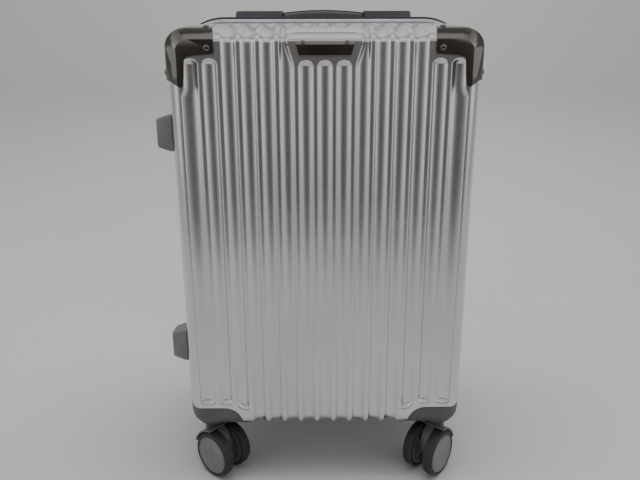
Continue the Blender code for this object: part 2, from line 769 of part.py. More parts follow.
def build_lock(case, mats):
    place(lock_body(), "lock_body", mats["grey"], case)
    for label, z in DIAL_Z.items():
        spin = empty(f"dial_axis_{label}", (0.1723, 0.025, z), case)
        place(lock_dial(z), f"lock_dial_{label}", mats["zinc"], spin)
    for label, z in SLIDER_Z.items():
        track = empty(f"zip_track_{label}", (WIDTH / 2, 0, z), case)
        place(zip_slider(z), f"zip_slider_{label}", mats["zinc"], track)


def main():
    clear_scene()
    mats = make_materials()
    rear = empty("rear_case", (0, 0, 0))
    front = empty("front_case", (-SIDE_REACH - GAP, 0, MID_Z), rear)
    build_half(REAR, "rear", rear, mats)
    build_half(FRONT, "front", front, mats)
    place(badge(), "front_badge", mats["chrome"], front)
    hinge = box((-WIDTH / 2, -WIDTH / 2 + 0.003), (-0.0077, 0.0077), (GUSSET_Z[0] + GAP, GUSSET_Z[1] - GAP))
    place(hinge, "hinge_gusset", mats["fabric"], rear)
    build_carry_handles(rear, mats)
    build_trolley(rear, mats)
    build_lock(rear, mats)
    for corner in CASTER_TURN:
        build_caster(corner, front if corner.startswith("front") else rear, mats)


main()
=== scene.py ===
"""Looks of the hard shell cabin suitcase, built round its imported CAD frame. Metres, +Z up, front to -Y."""

import json
import math

import bmesh
import bpy
import numpy as np
from mathutils import Matrix, Vector


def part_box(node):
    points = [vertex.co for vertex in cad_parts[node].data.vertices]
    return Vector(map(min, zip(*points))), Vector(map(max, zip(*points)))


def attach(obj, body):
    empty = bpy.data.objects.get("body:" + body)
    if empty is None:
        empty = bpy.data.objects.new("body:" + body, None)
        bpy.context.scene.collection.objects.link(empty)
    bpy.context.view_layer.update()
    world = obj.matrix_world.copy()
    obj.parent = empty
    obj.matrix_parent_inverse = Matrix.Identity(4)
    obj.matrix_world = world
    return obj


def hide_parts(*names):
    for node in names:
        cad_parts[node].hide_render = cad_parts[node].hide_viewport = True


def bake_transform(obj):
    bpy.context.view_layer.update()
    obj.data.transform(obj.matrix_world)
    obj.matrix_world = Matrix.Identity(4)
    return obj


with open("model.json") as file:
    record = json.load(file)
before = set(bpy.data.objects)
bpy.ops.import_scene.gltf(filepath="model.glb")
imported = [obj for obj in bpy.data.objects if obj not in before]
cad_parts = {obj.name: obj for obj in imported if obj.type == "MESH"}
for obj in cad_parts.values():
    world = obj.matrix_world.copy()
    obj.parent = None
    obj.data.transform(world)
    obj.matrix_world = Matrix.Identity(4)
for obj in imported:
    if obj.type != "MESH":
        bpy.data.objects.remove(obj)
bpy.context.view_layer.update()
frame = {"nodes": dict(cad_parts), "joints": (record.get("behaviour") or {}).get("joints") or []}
NODES = frame["nodes"]

# Sizes that the CAD gives
SHELL_LOW, SHELL_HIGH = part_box("front_shell")
HALF_W, BOTTOM, TOP = SHELL_HIGH.x, SHELL_LOW.z, SHELL_HIGH.z
FACE = -SHELL_LOW.y
RIM = -SHELL_HIGH.y
REACH = FACE - RIM
MID_Z = (BOTTOM + TOP) / 2
FRONT, REAR = -1, 1
SIDES = {"front": FRONT, "rear": REAR}
HANDS = {"left": -1, "right": 1}

# The case's form: how far the flat face lies in from the seam's outline, and the corner radii
FACE_IN = {"side": 0.025, "top": 0.0325, "bottom": 0.028}
BEND = {"side": 1.8, "top": 1.1, "bottom": 2.0}
FACE_R, SEAM_R = 0.009, 0.055
SKIN = 0.0055

# Ribs
PITCH = 0.0195
GROOVE_W = 0.0077
GROOVE_D = 0.0042
GROOVE_END = 0.0055


# ---------------------------------------------------------------- materials


def node_material(name, colour, roughness, metallic=0.0, **sockets):
    """A Principled material with its constant values set straight on the shader."""
    mat = bpy.data.materials.new(name)
    mat.use_nodes = True
    shader = mat.node_tree.nodes["Principled BSDF"]
    shader.inputs["Base Color"].default_value = (*colour, 1)
    shader.inputs["Roughness"].default_value = roughness
    shader.inputs["Metallic"].default_value = metallic
    for socket, value in sockets.items():
        shader.inputs[socket.replace("_", " ")].default_value = value
    return mat


def add_node(mat, kind, **settings):
    node = mat.node_tree.nodes.new(kind)
    for key, value in settings.items():
        if hasattr(node, key):
            setattr(node, key, value)
        else:
            node.inputs[key.replace("_", " ")].default_value = value
    return node


def position(mat, scale=(1, 1, 1)):
    """The surface's place on the object, scaled along each axis."""
    coord = add_node(mat, "ShaderNodeTexCoord")
    mapping = add_node(mat, "ShaderNodeMapping")
    mapping.inputs["Scale"].default_value = scale
    mat.node_tree.links.new(coord.outputs["Object"], mapping.inputs["Vector"])
    return mapping.outputs["Vector"]


def noise(mat, scale, detail=3.0, stretch=(1, 1, 1)):
    node = add_node(mat, "ShaderNodeTexNoise")
    node.inputs["Scale"].default_value = scale
    node.inputs["Detail"].default_value = detail
    mat.node_tree.links.new(position(mat, stretch), node.inputs["Vector"])
    return node.outputs["Fac"]


def between(mat, factor, low, high):
    """Maps a 0 to 1 factor to a range of numbers or of colours."""
    if isinstance(low, tuple):
        ramp = add_node(mat, "ShaderNodeValToRGB")
        ramp.color_ramp.elements[0].color = (*low, 1)
        ramp.color_ramp.elements[1].color = (*high, 1)
        ramp.color_ramp.elements[0].position = 0.3
        ramp.color_ramp.elements[1].position = 0.7
        mat.node_tree.links.new(factor, ramp.inputs["Fac"])
        return ramp.outputs["Color"]
    span = add_node(mat, "ShaderNodeMapRange")
    span.inputs["To Min"].default_value = low
    span.inputs["To Max"].default_value = high
    mat.node_tree.links.new(factor, span.inputs["Value"])
    return span.outputs["Result"]


def drive(mat, socket, value):
    mat.node_tree.links.new(value, mat.node_tree.nodes["Principled BSDF"].inputs[socket])


def bump(mat, height, strength, distance=0.0005):
    node = add_node(mat, "ShaderNodeBump")
    node.inputs["Strength"].default_value = strength
    node.inputs["Distance"].default_value = distance
    mat.node_tree.links.new(height, node.inputs["Height"])
    drive(mat, "Normal", node.outputs["Normal"])


def weave(mat, pitch):
    """A plain weave's height, from two crossed sets of bands."""
    place = position(mat)
    total = None
    for direction in ("X", "Z"):
        wave = add_node(mat, "ShaderNodeTexWave", wave_type="BANDS", bands_direction=direction)
        wave.inputs["Scale"].default_value = 0.314 / pitch
        wave.inputs["Distortion"].default_value = 0.6
        mat.node_tree.links.new(place, wave.inputs["Vector"])
        if total is None:
            total = wave.outputs["Fac"]
            continue
        both = add_node(mat, "ShaderNodeMath", operation="MULTIPLY")
        mat.node_tree.links.new(total, both.inputs[0])
        mat.node_tree.links.new(wave.outputs["Fac"], both.inputs[1])
        total = both.outputs["Value"]
    return total


def plastic(name, colour, roughness=0.5, grain=0.25):
    mat = node_material(name, colour, roughness, Specular_IOR_Level=0.45)
    shade = tuple(c * 0.86 for c in colour)
    drive(mat, "Base Color", between(mat, noise(mat, 40), shade, tuple(min(1, c * 1.1) for c in colour)))
    drive(mat, "Roughness", between(mat, noise(mat, 90), roughness - 0.07, roughness + 0.08))
    bump(mat, noise(mat, 1800, 2), grain, 0.0002)
    return mat


def fabric(name, colour, pitch=0.0011):
    mat = node_material(name, colour, 0.85, Sheen_Weight=0.3, Sheen_Roughness=0.5)
    light = tuple(min(1, c * 1.5) for c in colour)
    drive(mat, "Base Color", between(mat, weave(mat, pitch), tuple(c * 0.7 for c in colour), light))
    bump(mat, weave(mat, pitch), 0.5, 0.0004)
    return mat


def metal(name, colour, roughness, stretch=(1, 1, 1), scale=60.0, strength=0.05):
    mat = node_material(name, colour, roughness, 1.0)
    drive(
        mat, "Roughness",
        between(mat, noise(mat, scale, 4, stretch), max(0.02, roughness * 0.8), roughness * 1.25)
    )
    bump(mat, noise(mat, scale * 6, 3, stretch), strength, 0.0001)
    return mat


def make_materials():
    silver = node_material(
        "silver_film", (0.70, 0.70, 0.72), 0.24, 0.94, Coat_Weight=0.3, Coat_Roughness=0.12
    )
    drive(silver, "Base Color", between(silver, noise(silver, 7, 4), (0.60, 0.60, 0.62), (0.72, 0.72, 0.735)))
    drive(silver, "Roughness", between(silver, noise(silver, 30, 5), 0.19, 0.31))
    bump(silver, noise(silver, 260, 4, (1, 1, 0.35)), 0.035, 0.0004)
    chrome = metal("gunmetal_chrome", (0.185, 0.175, 0.165), 0.09, scale=25.0, strength=0.015)
    tube = metal("anodised_tube", (0.60, 0.61, 0.63), 0.28, (14, 14, 0.4), 40.0, 0.06)
    return {
        "silver_shell": silver,
        "dark_chrome": chrome,
        "grey_plastic": plastic("grey_moulding", (0.115, 0.120, 0.130), 0.5),
        "block": plastic("handle_moulding", (0.115, 0.122, 0.137), 0.45),
        "caster": plastic("caster_moulding", (0.125, 0.126, 0.127), 0.42),
        "foot": plastic("foot_moulding", (0.185, 0.193, 0.205), 0.5),
        "housing": plastic("housing_moulding", (0.105, 0.105, 0.108), 0.55, 0.5),
        "seam_piping": plastic("piping_band", (0.40, 0.42, 0.45), 0.38, 0.1),
        "zip_tape": fabric("zip_tape_weave", (0.018, 0.018, 0.02), 0.0008),
        "teeth": plastic("zip_coil", (0.02, 0.02, 0.022), 0.35, 0.05),
        "zip_metal": metal("nickel", (0.52, 0.53, 0.55), 0.22, scale=80.0),
        "lining_fabric": fabric("lining_weave", (0.06, 0.062, 0.07), 0.0012),
        "strap": fabric("strap_webbing", (0.03, 0.03, 0.033), 0.0016),
        "tyre_rubber": plastic("tyre", (0.030, 0.028, 0.026), 0.6, 0.3),
        "hub_plastic": plastic("hub_cap", (0.185, 0.190, 0.186), 0.42, 0.1),
        "handle_tube": tube,
        "grip_rubber": plastic("soft_grip", (0.095, 0.093, 0.097), 0.6, 0.6),
        "grip_edge": plastic("grip_edge", (0.016, 0.016, 0.018), 0.55, 0.3),
        "figures": plastic("dial_figures", (0.62, 0.62, 0.60), 0.5, 0.1),
    }


MATS = make_materials()


# ---------------------------------------------------------------- mesh tools


def piece(name, mesh, body, slot, mat=None, replaces=(), sharp=35):
    """Shows a mesh as a piece that rides on a body."""
    obj = mesh if isinstance(mesh, bpy.types.Object) else bpy.data.objects.new(name, mesh)
    obj.name = obj.data.name = name
    if not obj.users_collection:
        bpy.context.scene.collection.objects.link(obj)
    obj.data.materials.clear()
    obj.data.materials.append(MATS[mat or slot])
    obj.data.shade_smooth()
    obj.data.set_sharp_from_angle(angle=math.radians(sharp))
    if body:
        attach(obj, body)
    if replaces:
        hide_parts(*replaces)
    return obj


def from_bmesh(bm):
    bmesh.ops.recalc_face_normals(bm, faces=bm.faces)
    mesh = bpy.data.meshes.new("made")
    bm.to_mesh(mesh)
    bm.free()
    return mesh


def build(verts, faces):
    mesh = bpy.data.meshes.new("made")
    mesh.from_pydata([tuple(map(float, v)) for v in verts], [], faces)
    bm = bmesh.new()
    bm.from_mesh(mesh)
    bpy.data.meshes.remove(mesh)
    return from_bmesh(bm)


def merged(*meshes):
    """Several meshes as one."""
    bm = bmesh.new()
    for mesh in meshes:
        bm.from_mesh(mesh)
    made = bpy.data.meshes.new("made")
    bm.to_mesh(made)
    bm.free()
    return made


def moved(mesh, matrix):
    mesh.transform(matrix)
    if matrix.determinant() < 0:
        mesh.flip_normals()
    return mesh


def loft(rings):
    """Joins closed rings of equal count into a skin with its two ends filled."""
    count = len(rings[0])
    verts = [p for ring in rings for p in ring]
    faces = []
    for i in range(len(rings) - 1):
        for j in range(count):
            k = (j + 1) % count
            faces.append([i * count + j, i * count + k, (i + 1) * count + k, (i + 1) * count + j])
    faces.append(list(range(count)))
    faces.append(list(range((len(rings) - 1) * count, len(rings) * count)))
    return build(verts, faces)


def loop_loft(rings):
    """A loft whose last ring joins its first."""
    count = len(rings[0])
    verts = [p for ring in rings for p in ring]
    faces = []
    for i in range(len(rings)):
        m = (i + 1) % len(rings)
        for j in range(count):
            k = (j + 1) % count
            faces.append([i * count + j, i * count + k, m * count + k, m * count + j])
    return build(verts, faces)


def rounded_box(x, y, z, radius, segments=3):
    bm = bmesh.new()
    bmesh.ops.create_cube(bm, size=1.0)
    size = (x[1] - x[0], y[1] - y[0], z[1] - z[0])
    centre = ((x[0] + x[1]) / 2, (y[0] + y[1]) / 2, (z[0] + z[1]) / 2)
    bm.transform(Matrix.Translation(centre) @ Matrix.Diagonal((*size, 1)))
    bmesh.ops.bevel(bm, geom=bm.edges, offset=radius, segments=segments, affect="EDGES", profile=0.5)
    return from_bmesh(bm)


def prism(outline, axis, low, high, radius=0.0, segments=2):
    """Extrudes an outline of the two other axes, and rounds its edges."""
    slot = "XYZ".index(axis)
    bm = bmesh.new()
    ends = []
    for level in (low, high):
        ring = []
        for pair in outline:
            point = list(pair)
            point.insert(slot, level)
            ring.append(bm.verts.new(point))
        ends.append(bm.faces.new(ring))
    n = len(outline)
    for i in range(n):
        j = (i + 1) % n
        bm.faces.new([ends[0].verts[i], ends[0].verts[j], ends[1].verts[j], ends[1].verts[i]])
    bmesh.ops.recalc_face_normals(bm, faces=bm.faces)
    if radius:
        edges = [e for e in bm.edges if e.calc_face_angle(0) > 0.5]
        bmesh.ops.bevel(bm, geom=edges, offset=radius, segments=segments, affect="EDGES", profile=0.5)
    return from_bmesh(bm)


def lathe(profile, axis, centre, steps=64):
    """Turns an open profile of (radius, place along the axis) about an axis."""
    slot = "XYZ".index(axis)
    rings = []
    for radius, along in profile:
        ring = []
        for i in range(steps):
            a = 2 * math.pi * i / steps
            point = [centre[0] + radius * math.cos(a), centre[1] + radius * math.sin(a)]
            point.insert(slot, along)
            ring.append(point)
        rings.append(ring)
    return loft(rings)


def rivet(place, normal, radius=0.0032, height=0.0016):
    """A domed rivet head with a thin collar."""
    profile = [(radius * 1.02, -0.001), (radius * 1.02, 0.0003), (radius * 0.98, 0.0006)]
    profile += [(radius * math.cos(a), 0.0006 + height * math.sin(a)) for a in np.linspace(0.15, 1.45, 7)]
    made = lathe(profile, "Z", (0, 0), 28)
    turn = Vector((0, 0, 1)).rotation_difference(Vector(normal)).to_matrix().to_4x4()
    return moved(made, Matrix.Translation(place) @ turn)


def smooth(value, low, high):
    t = np.clip((value - low) / (high - low), 0, 1)
    return t * t * (3 - 2 * t)


def boolean(obj, cutters, operation="DIFFERENCE"):
    for cutter in cutters:
        modifier = obj.modifiers.new("cut", "BOOLEAN")
        modifier.operation = operation
        modifier.object = cutter
    graph = bpy.context.evaluated_depsgraph_get()
    mesh = bpy.data.meshes.new_from_object(obj.evaluated_get(graph))
    obj.modifiers.clear()
    obj.data = mesh
    for cutter in cutters:
        bpy.data.objects.remove(cutter)
    return obj


def as_object(mesh):
    obj = bpy.data.objects.new("helper", mesh)
    bpy.context.scene.collection.objects.link(obj)
    return obj


# ---------------------------------------------------------------- the case's surface


def shoulder(edge):
    """The surface from the flat face back to the seam, as (back, gain, angle, length) arrays.

    It starts in the plane of the face and bends away ever more gently.
    """
    share = np.linspace(0, 1, 4001) ** 3
    back = REACH * share
    gain = FACE_IN[edge] * (1 - (1 - np.sqrt(share)) ** BEND[edge])
    length = np.concatenate([[0], np.cumsum(np.hypot(np.diff(back), np.diff(gain)))])
    angle = np.arctan2(np.gradient(gain), np.gradient(back))
    angle[0] = math.pi / 2
    return back, gain, angle, length


SHOULDER = {edge: shoulder(edge) for edge in FACE_IN}
BACKS = np.array(
    [0.02, 0.08, 0.2, 0.4, 0.7, 1.1, 1.6, 2.2, 3, 4, 5.3, 7, 9.5, 13, 17.5, 23, 29.5, 37, 46, 56, 66, 76, 84]
) / 1000
BACKS = np.concatenate([BACKS, [0.0905, 0.0935, 0.096, 0.0985, 0.1003, REACH]])


def at_back(edge, back):
    """(inset, angle, length) of the shoulder a distance behind the face."""
    b, gain, angle, length = SHOULDER[edge]
    return FACE_IN[edge] - np.interp(back, b, gain), np.interp(back, b, angle), np.interp(back, b, length)


def columns():
    steps = np.array([0, 1.4, 2.8, 4.2, 5.4, 6.2, 6.9, 7.6, 8.5]) / 1000
    around = [-s for s in steps[:0:-1]] + list(steps)
    made = [k * PITCH + s for k in range(-7, 8) for s in around] + [(k + 0.5) * PITCH for k in range(-8, 8)]
    edge = HALF_W - FACE_IN["side"]
    made = [x for x in made if abs(x) < edge - 0.0006] + [-edge, edge]
    return np.array(sorted(set(round(x, 6) for x in made)))


def rows():
    """Levels of the face's grid, close together where grooves end or bend."""
    low, high = BOTTOM + FACE_IN["bottom"], TOP - FACE_IN["top"]
    fine = 0.0012
    made = list(np.arange(low, BOTTOM + 0.060, fine)) + list(np.linspace(BOTTOM + 0.060, KEEP_Z[0], 5))
    made += list(np.linspace(KEEP_Z[0], KEEP_Z[1], 40)) + list(
        np.arange(KEEP_Z[1] + 0.002, TOP - 0.069, 0.002)
    )
    made += list(np.arange(TOP - 0.069, high - fine / 2, fine)) + [high]
    return np.array(sorted(set(round(z, 6) for z in made)))


KEEP_X = 5.5 * PITCH
KEEP_Z = (BOTTOM + 0.075, TOP - 0.090)
XS, ZS = columns(), rows()


def perimeter_index():
    """The face grid's border, anticlockwise from its lower left corner, as (column, row) pairs."""
    nx, nz = len(XS), len(ZS)
    ring = [(i, 0) for i in range(nx)] + [(nx - 1, j) for j in range(1, nz)]
    ring += [(i, nz - 1) for i in range(nx - 2, -1, -1)] + [(0, j) for j in range(nz - 2, 0, -1)]
    return ring


def corner_path(w, h, radius, far_x, far_z):
    """Points along one corner, from (far_x, h) round to (w, far_z)."""
    arc = [(
        w - radius + radius * math.sin(a), h - radius + radius * math.cos(a)
    ) for a in np.linspace(0, math.pi / 2, 40)]
    return np.array([(far_x, h)] + arc + [(w, far_z)])


def along(path, shares):
    gaps = np.hypot(*np.diff(path, axis=0).T)
    length = np.concatenate([[0], np.cumsum(gaps)]) / gaps.sum()
    return np.stack([np.interp(shares, length, path[:, 0]), np.interp(shares, length, path[:, 1])], axis=1)


def shares_of(points):
    gaps = np.hypot(*np.diff(points, axis=0).T)
    return np.concatenate([[0], np.cumsum(gaps)]) / gaps.sum()


def face_points():
    """The flat face's grid of (x, z), with its four corners rounded."""
    x, z = np.meshgrid(XS, ZS, indexing="ij")
    w = HALF_W - FACE_IN["side"]
    low, high = ZS[0], ZS[-1]
    a = np.clip((np.abs(x) - (w - FACE_R)) / FACE_R, 0, 1)
    b = np.clip(np.maximum(z - (high - FACE_R), (low + FACE_R) - z) / FACE_R, 0, 1)
    shift_a = a * np.sqrt(1 - b * b / 2) - a
    shift_b = b * np.sqrt(1 - a * a / 2) - b
    return x + np.sign(x) * shift_a * FACE_R, z + np.sign(z - MID_Z) * shift_b * FACE_R


FX, FZ = face_points()
BORDER = perimeter_index()
BORDER_XZ = np.array([(FX[i, j], FZ[i, j]) for i, j in BORDER])


def corner_runs():
    """For each corner, the border points between the kept columns and the kept rows, ending at the side."""
    runs = []
    flat = np.array([(XS[i], ZS[j]) for i, j in BORDER])
    for sx in (-1, 1):
        for sz in (-1, 1):
            far_z = KEEP_Z[1] if sz > 0 else KEEP_Z[0]
            inside = (flat[:, 0] * sx > KEEP_X - 1e-6) & (flat[:, 1] * sz > far_z * sz - 1e-6)
            which = np.where(inside)[0]
            order = np.argsort(
                np.where(
                    np.abs(np.abs(flat[which, 1] - (ZS[-1] if sz > 0 else ZS[0]))) < 1e-6,
                    flat[which, 0] * sx, 10 - flat[which, 1] * sz
                )
            )
            runs.append((sx, sz, which[order]))
    return runs


RUNS = corner_runs()


def ring_xz(back, grow=0.0):
    """The border's points moved to the ring that lies a distance behind the face."""
    made = BORDER_XZ.copy()
    inset = {edge: at_back(edge, back)[0] for edge in FACE_IN}
    w, high, low = HALF_W - inset["side"] + grow, TOP - inset["top"] + grow, BOTTOM + inset["bottom"] - grow
    flat = np.array([(XS[i], ZS[j]) for i, j in BORDER])
    made[:, 0] = np.where(
        np.abs(flat[:, 0]) > HALF_W - FACE_IN["side"] - 1e-6, np.sign(flat[:, 0]) * w, flat[:, 0]
    )
    made[:, 1] = np.where(
        flat[:, 1] > ZS[-1] - 1e-6, high, np.where(flat[:, 1] < ZS[0] + 1e-6, low, flat[:, 1])
    )
    radius = FACE_R + (SEAM_R - FACE_R) * (back / REACH) ** 0.8 + grow
    for sx, sz, which in RUNS:
        shares = shares_of(BORDER_XZ[which])
        far_z = KEEP_Z[1] if sz > 0 else KEEP_Z[0]
        h = (high - MID_Z) if sz > 0 else (MID_Z - low)
        path = corner_path(w, h, radius, KEEP_X, abs(far_z - MID_Z))
        spots = along(path, shares)
        made[which, 0] = sx * spots[:, 0]
        made[which, 1] = MID_Z + sz * spots[:, 1]
    return made


def groove_profile(q):
    """A scooped groove: q is 0 at its middle and 1 at its edge."""
    t = np.clip((q - 0.86) / 0.28, 0, 1)
    v0, s0 = 1 - 0.86**2, -1.72 * 0.28
    edge = (2 * t**3 - 3 * t**2 + 1) * v0 + (t**3 - 2 * t**2 + t) * s0
    return np.where(q < 0.86, 1 - q * q, edge)


SPAN = {
    "top": TOP - FACE_IN["top"] + at_back("top", REACH)[2],
    "bottom": BOTTOM + FACE_IN["bottom"] - at_back("bottom", REACH)[2],
}


def segments(k, side):
    """The stretches of a groove, from its lower to its upper end, along the shell's surface."""
    low = {5: BOTTOM + 0.0375, 6: BOTTOM + 0.0435, 7: BOTTOM + 0.0435}.get(k, SPAN["bottom"] + 0.009)
    high = SPAN["top"] - 0.009
    if side == REAR:
        return [(low, TOP - 0.0475)]
    if k <= 1:
        return [(low, TOP - 0.0505), (TOP + 0.004, high)]
    if k == 6:
        return [(low, TOP - 0.0485), (TOP + 0.016, high)]
    return [(low, TOP - 0.0485 if k == 7 else high)]


def dent(x, z, side):
    """How deep the shell is grooved at a place on its face, where z runs on over the shoulders."""
    ax = np.abs(x)
    deepest = np.zeros_like(ax)
    for k in range(8):
        inner = k * PITCH - GROOVE_W + 0 * z
        outer = k * PITCH + GROOVE_W + 0 * z
        if k == 2 and side == FRONT:
            inner = inner + 0.0075 * smooth(z, TOP - 0.058, TOP - 0.029) * (1 - smooth(z, TOP, TOP + 0.025))
        if k == 7:
            outer = outer + 0.0042 * (1 - smooth(z, TOP - 0.088, TOP - 0.075))
        centre, half = (inner + outer) / 2, (outer - inner) / 2
        if k == 0:
            centre = 0 * z
        for low, high in segments(k, side):
            if k == 5:
                low = low + 0.45 * (ax - 5 * PITCH)
            over = np.maximum(np.maximum(z - (high - GROOVE_END), low + GROOVE_END - z), 0) / GROOVE_END
            q = np.sqrt(((ax - centre) / half) ** 2 + over**2)
            deepest = np.maximum(deepest, groove_profile(q))
    return GROOVE_D * deepest


def half_solid(side, grooved=False, grow=0.0, thick=None, rim=RIM):
    """One half of the case: a solid to its rim, or, with a thickness, a shell that is plain inside."""
    nx, nz = len(XS), len(ZS)
    depth = dent(FX, FZ, side) if grooved else np.zeros_like(FX)
    verts = [(FX[i, j], -(FACE + grow) + depth[i, j], FZ[i, j]) for i in range(nx) for j in range(nz)]
    cells = [(i * nz + j, i, j) for i in range(nx - 1) for j in range(nz - 1)]
    faces = [[a, a + nz, a + nz + 1, a + 1] for a, _, _ in cells]
    last = [i * nz + j for i, j in BORDER]
    on_top = np.array([j == nz - 1 for _, j in BORDER])
    on_low = np.array([j == 0 for _, j in BORDER])
    count = len(BORDER)

    def add_ring(points):
        nonlocal last
        start = len(verts)
        verts.extend(map(tuple, points))
        now = list(range(start, start + count))
        faces.extend([last[a], last[(a + 1) % count], now[(a + 1) % count], now[a]] for a in range(count))
        last = now

    for back in BACKS:
        xz = ring_xz(back, grow)
        y = np.full(count, back - FACE - grow * (1 - back / REACH))
        x, z = xz[:, 0].copy(), xz[:, 1].copy()
        if grooved:
            for edge, where, sign in (("top", on_top, 1), ("bottom", on_low, -1)):
                _, angle, length = at_back(edge, back)
                base = ZS[-1] if sign > 0 else ZS[0]
                deep = np.where(where, dent(x, np.full(count, base + sign * length), side), 0)
                y += deep * math.sin(angle)
                z -= sign * deep * math.cos(angle)
        add_ring(np.stack([x, y, z], axis=1))
    if rim != RIM:
        xz = ring_xz(REACH, grow)
        add_ring(np.stack([xz[:, 0], np.full(count, -rim), xz[:, 1]], axis=1))
    if thick:
        for back in (REACH, 0.085, 0.055, 0.03, 0.014, thick):
            xz = ring_xz(max(0.0, back - thick), -thick)
            add_ring(np.stack([xz[:, 0], np.full(count, back - FACE), xz[:, 1]], axis=1))
    faces.append(list(last))
    verts = np.array(verts)
    verts[:, 1] *= -side
    return build(verts, faces)


# ---------------------------------------------------------------- shells, housings and lining

HOUSING = Vector((0.0985, 0.044, BOTTOM + 0.038))


def housing_region(side_x, side_y, grow):
    """The corner block of a wheel housing, whose front and side edges sweep down to the case's underside."""
    top = HOUSING.z + grow

    def sweep(inner, outer):
        start = BOTTOM + 0.016
        curve = [(inner - grow, 0.045)]
        for a in np.linspace(0, math.pi / 2, 9):
            curve.append((inner - grow + 0.022 * (1 - math.cos(a)), start + (top - start) * math.sin(a)))
        return curve + [
            (outer - 0.024, top), (outer - 0.014, top + 0.0012), (outer, top + 0.007), (outer, 0.045)
        ]

    across = [(side_x * x, z) for x, z in sweep(HOUSING.x, HALF_W + 0.006)]
    along_y = [(side_y * y, z) for y, z in sweep(HOUSING.y, FACE + 0.006)]
    block = as_object(prism(across, "Y", *sorted((0.02 * side_y, 0.13 * side_y))))
    return boolean(
        block, [as_object(prism(along_y, "X", *sorted((0.05 * side_x, 0.19 * side_x))))], "INTERSECT"
    )


def grown_box(node, grow, z_high=None):
    low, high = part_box(node)
    top = z_high if z_high else high.z + grow
    return rounded_box(
        (low.x - grow, high.x + grow), (low.y - grow, high.y + grow), (low.z - grow, top), 0.0006, 2
    )


def make_shell(side, name):
    """The ribbed half shell, cut out for the wheel housings and, behind, for the tray and the lock."""
    obj = as_object(half_solid(side, grooved=True, thick=SKIN))
    cutters = [housing_region(x, side, 0.0007) for x in (-1, 1)]
    if side == REAR:
        cutters.append(as_object(grown_box("trolley_bezel", 0.0003, 0.56)))
        low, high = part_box("lock_body")
        around_y, around_z = (low.y - 0.0003, high.y + 0.0003), (low.z - 0.0003, high.z + 0.0003)
        cutters.append(as_object(rounded_box((0.15, 0.19), around_y, around_z, 0.001)))
    boolean(obj, cutters)
    piece(f"{name}_case_shell", obj, f"{name}_case", "silver_shell", replaces=[f"{name}_shell"], sharp=40)


def make_housing(side, name, side_x, hand):
    """A moulded wheel housing, set a hair below the shell's surface, with the caster's neck under it."""
    node = f"{name}_wheel_housing_{hand}"
    obj = housing_region(side_x, side, -0.0003)
    boolean(obj, [as_object(half_solid(side, grow=-0.0003))], "INTERSECT")
    swivel = JOINTS[f"swivel_{name}_{hand}"]
    low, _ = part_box(node)
    curve = [
        (0.0200, low.z + 0.018), (0.0195, low.z + 0.0080), (0.0172, low.z + 0.0050), (0.0143, low.z + 0.0026)
    ]
    curve += [(0.0124, low.z + 0.0010), (0.0117, low.z)]
    neck = lathe(curve, "Z", (swivel.x, swivel.y), 48)
    boolean(obj, [as_object(neck)], "UNION")
    edge_bevel(obj, 0.0007)
    piece(f"{name}_housing_{hand}", obj, f"{name}_case", "grey_plastic", "housing", [node])


def edge_bevel(obj, width, segments=2, angle=32):
    """Rounds an object's sharp edges and applies the result."""
    modifier = obj.modifiers.new("edges", "BEVEL")
    modifier.width = width
    modifier.segments = segments
    modifier.limit_method = "ANGLE"
    modifier.angle_limit = math.radians(angle)
    modifier.use_clamp_overlap = True
    return boolean(obj, [])


def make_lining(side, name):
    """The loose cloth bowl inside a half: its room is remeshed, smoothed, opened and rucked."""
    low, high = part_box(f"{name}_lining")
    floor = max(abs(low.y), abs(high.y))
    rim = min(abs(low.y), abs(high.y))
    room = as_object(half_solid(side, grow=-0.0068, rim=rim - 0.006))
    keep = sorted((side * (rim - 0.02), side * (floor - 0.0008)))
    boolean(room, [as_object(rounded_box((-0.2, 0.2), keep, (0, 0.6), 0.0001, 1))], "INTERSECT")
    blocks = []
    for side_x in (-1, 1):
        x = sorted((side_x * (HOUSING.x - 0.003), side_x * 0.19))
        y = sorted((side * (HOUSING.y - 0.003), side * 0.13))
        blocks.append(as_object(rounded_box(x, y, (0.02, HOUSING.z + 0.009), 0.0004, 1)))
    if side == REAR:
        for node in ("lock_body", "trolley_bezel"):
            blocks.append(as_object(grown_box(node, 0.003, 0.6 if node == "trolley_bezel" else None)))
    boolean(room, blocks)
    remesh = room.modifiers.new("cloth", "REMESH")
    remesh.mode = "VOXEL"
    remesh.voxel_size = 0.004
    ease = room.modifiers.new("ease", "SMOOTH")
    ease.iterations = 4
    boolean(room, [])
    bm = bmesh.new()
    bm.from_mesh(room.data)
    bmesh.ops.delete(bm, geom=[v for v in bm.verts if abs(v.co.y) < rim + 0.001], context="VERTS")
    bm.normal_update()
    for v in bm.verts:
        ruck = ruckle(v.co.x * 9, v.co.z * 26, v.co.y * 14) * smooth(abs(v.co.y), rim, rim + 0.03)
        v.co -= v.normal * (0.0003 + 0.0022 * float(ruck))
    bmesh.ops.recalc_face_normals(bm, faces=bm.faces)
    bm.to_mesh(room.data)
    bm.free()
    skin = room.modifiers.new("thickness", "SOLIDIFY")
    skin.thickness = 0.0008
    skin.offset = 0
    boolean(room, [])
    room = piece(
        f"{name}_lining_cloth", room, f"{name}_case", "lining_fabric", replaces=[f"{name}_lining"], sharp=60
    )


def ruckle(x, y, z):
    """A smooth value from 0 to 1 that wanders along the cloth."""
    total = math.sin(x * 2.1 + 1.7 * math.sin(y * 0.9 + z)) + math.sin(
        y * 1.3 + 2.1 * math.sin(x * 1.1 + 0.4) + z * 0.7
    )
    return (total + 2) / 4


# ---------------------------------------------------------------- guards and badge

GUARD_LIFT, GUARD_THICK = 0.0026, 0.0016
ARM_X, ARM_Z, LEG_X, LEG_Z = 0.112, TOP - 0.0442, 0.1420, TOP - 0.076


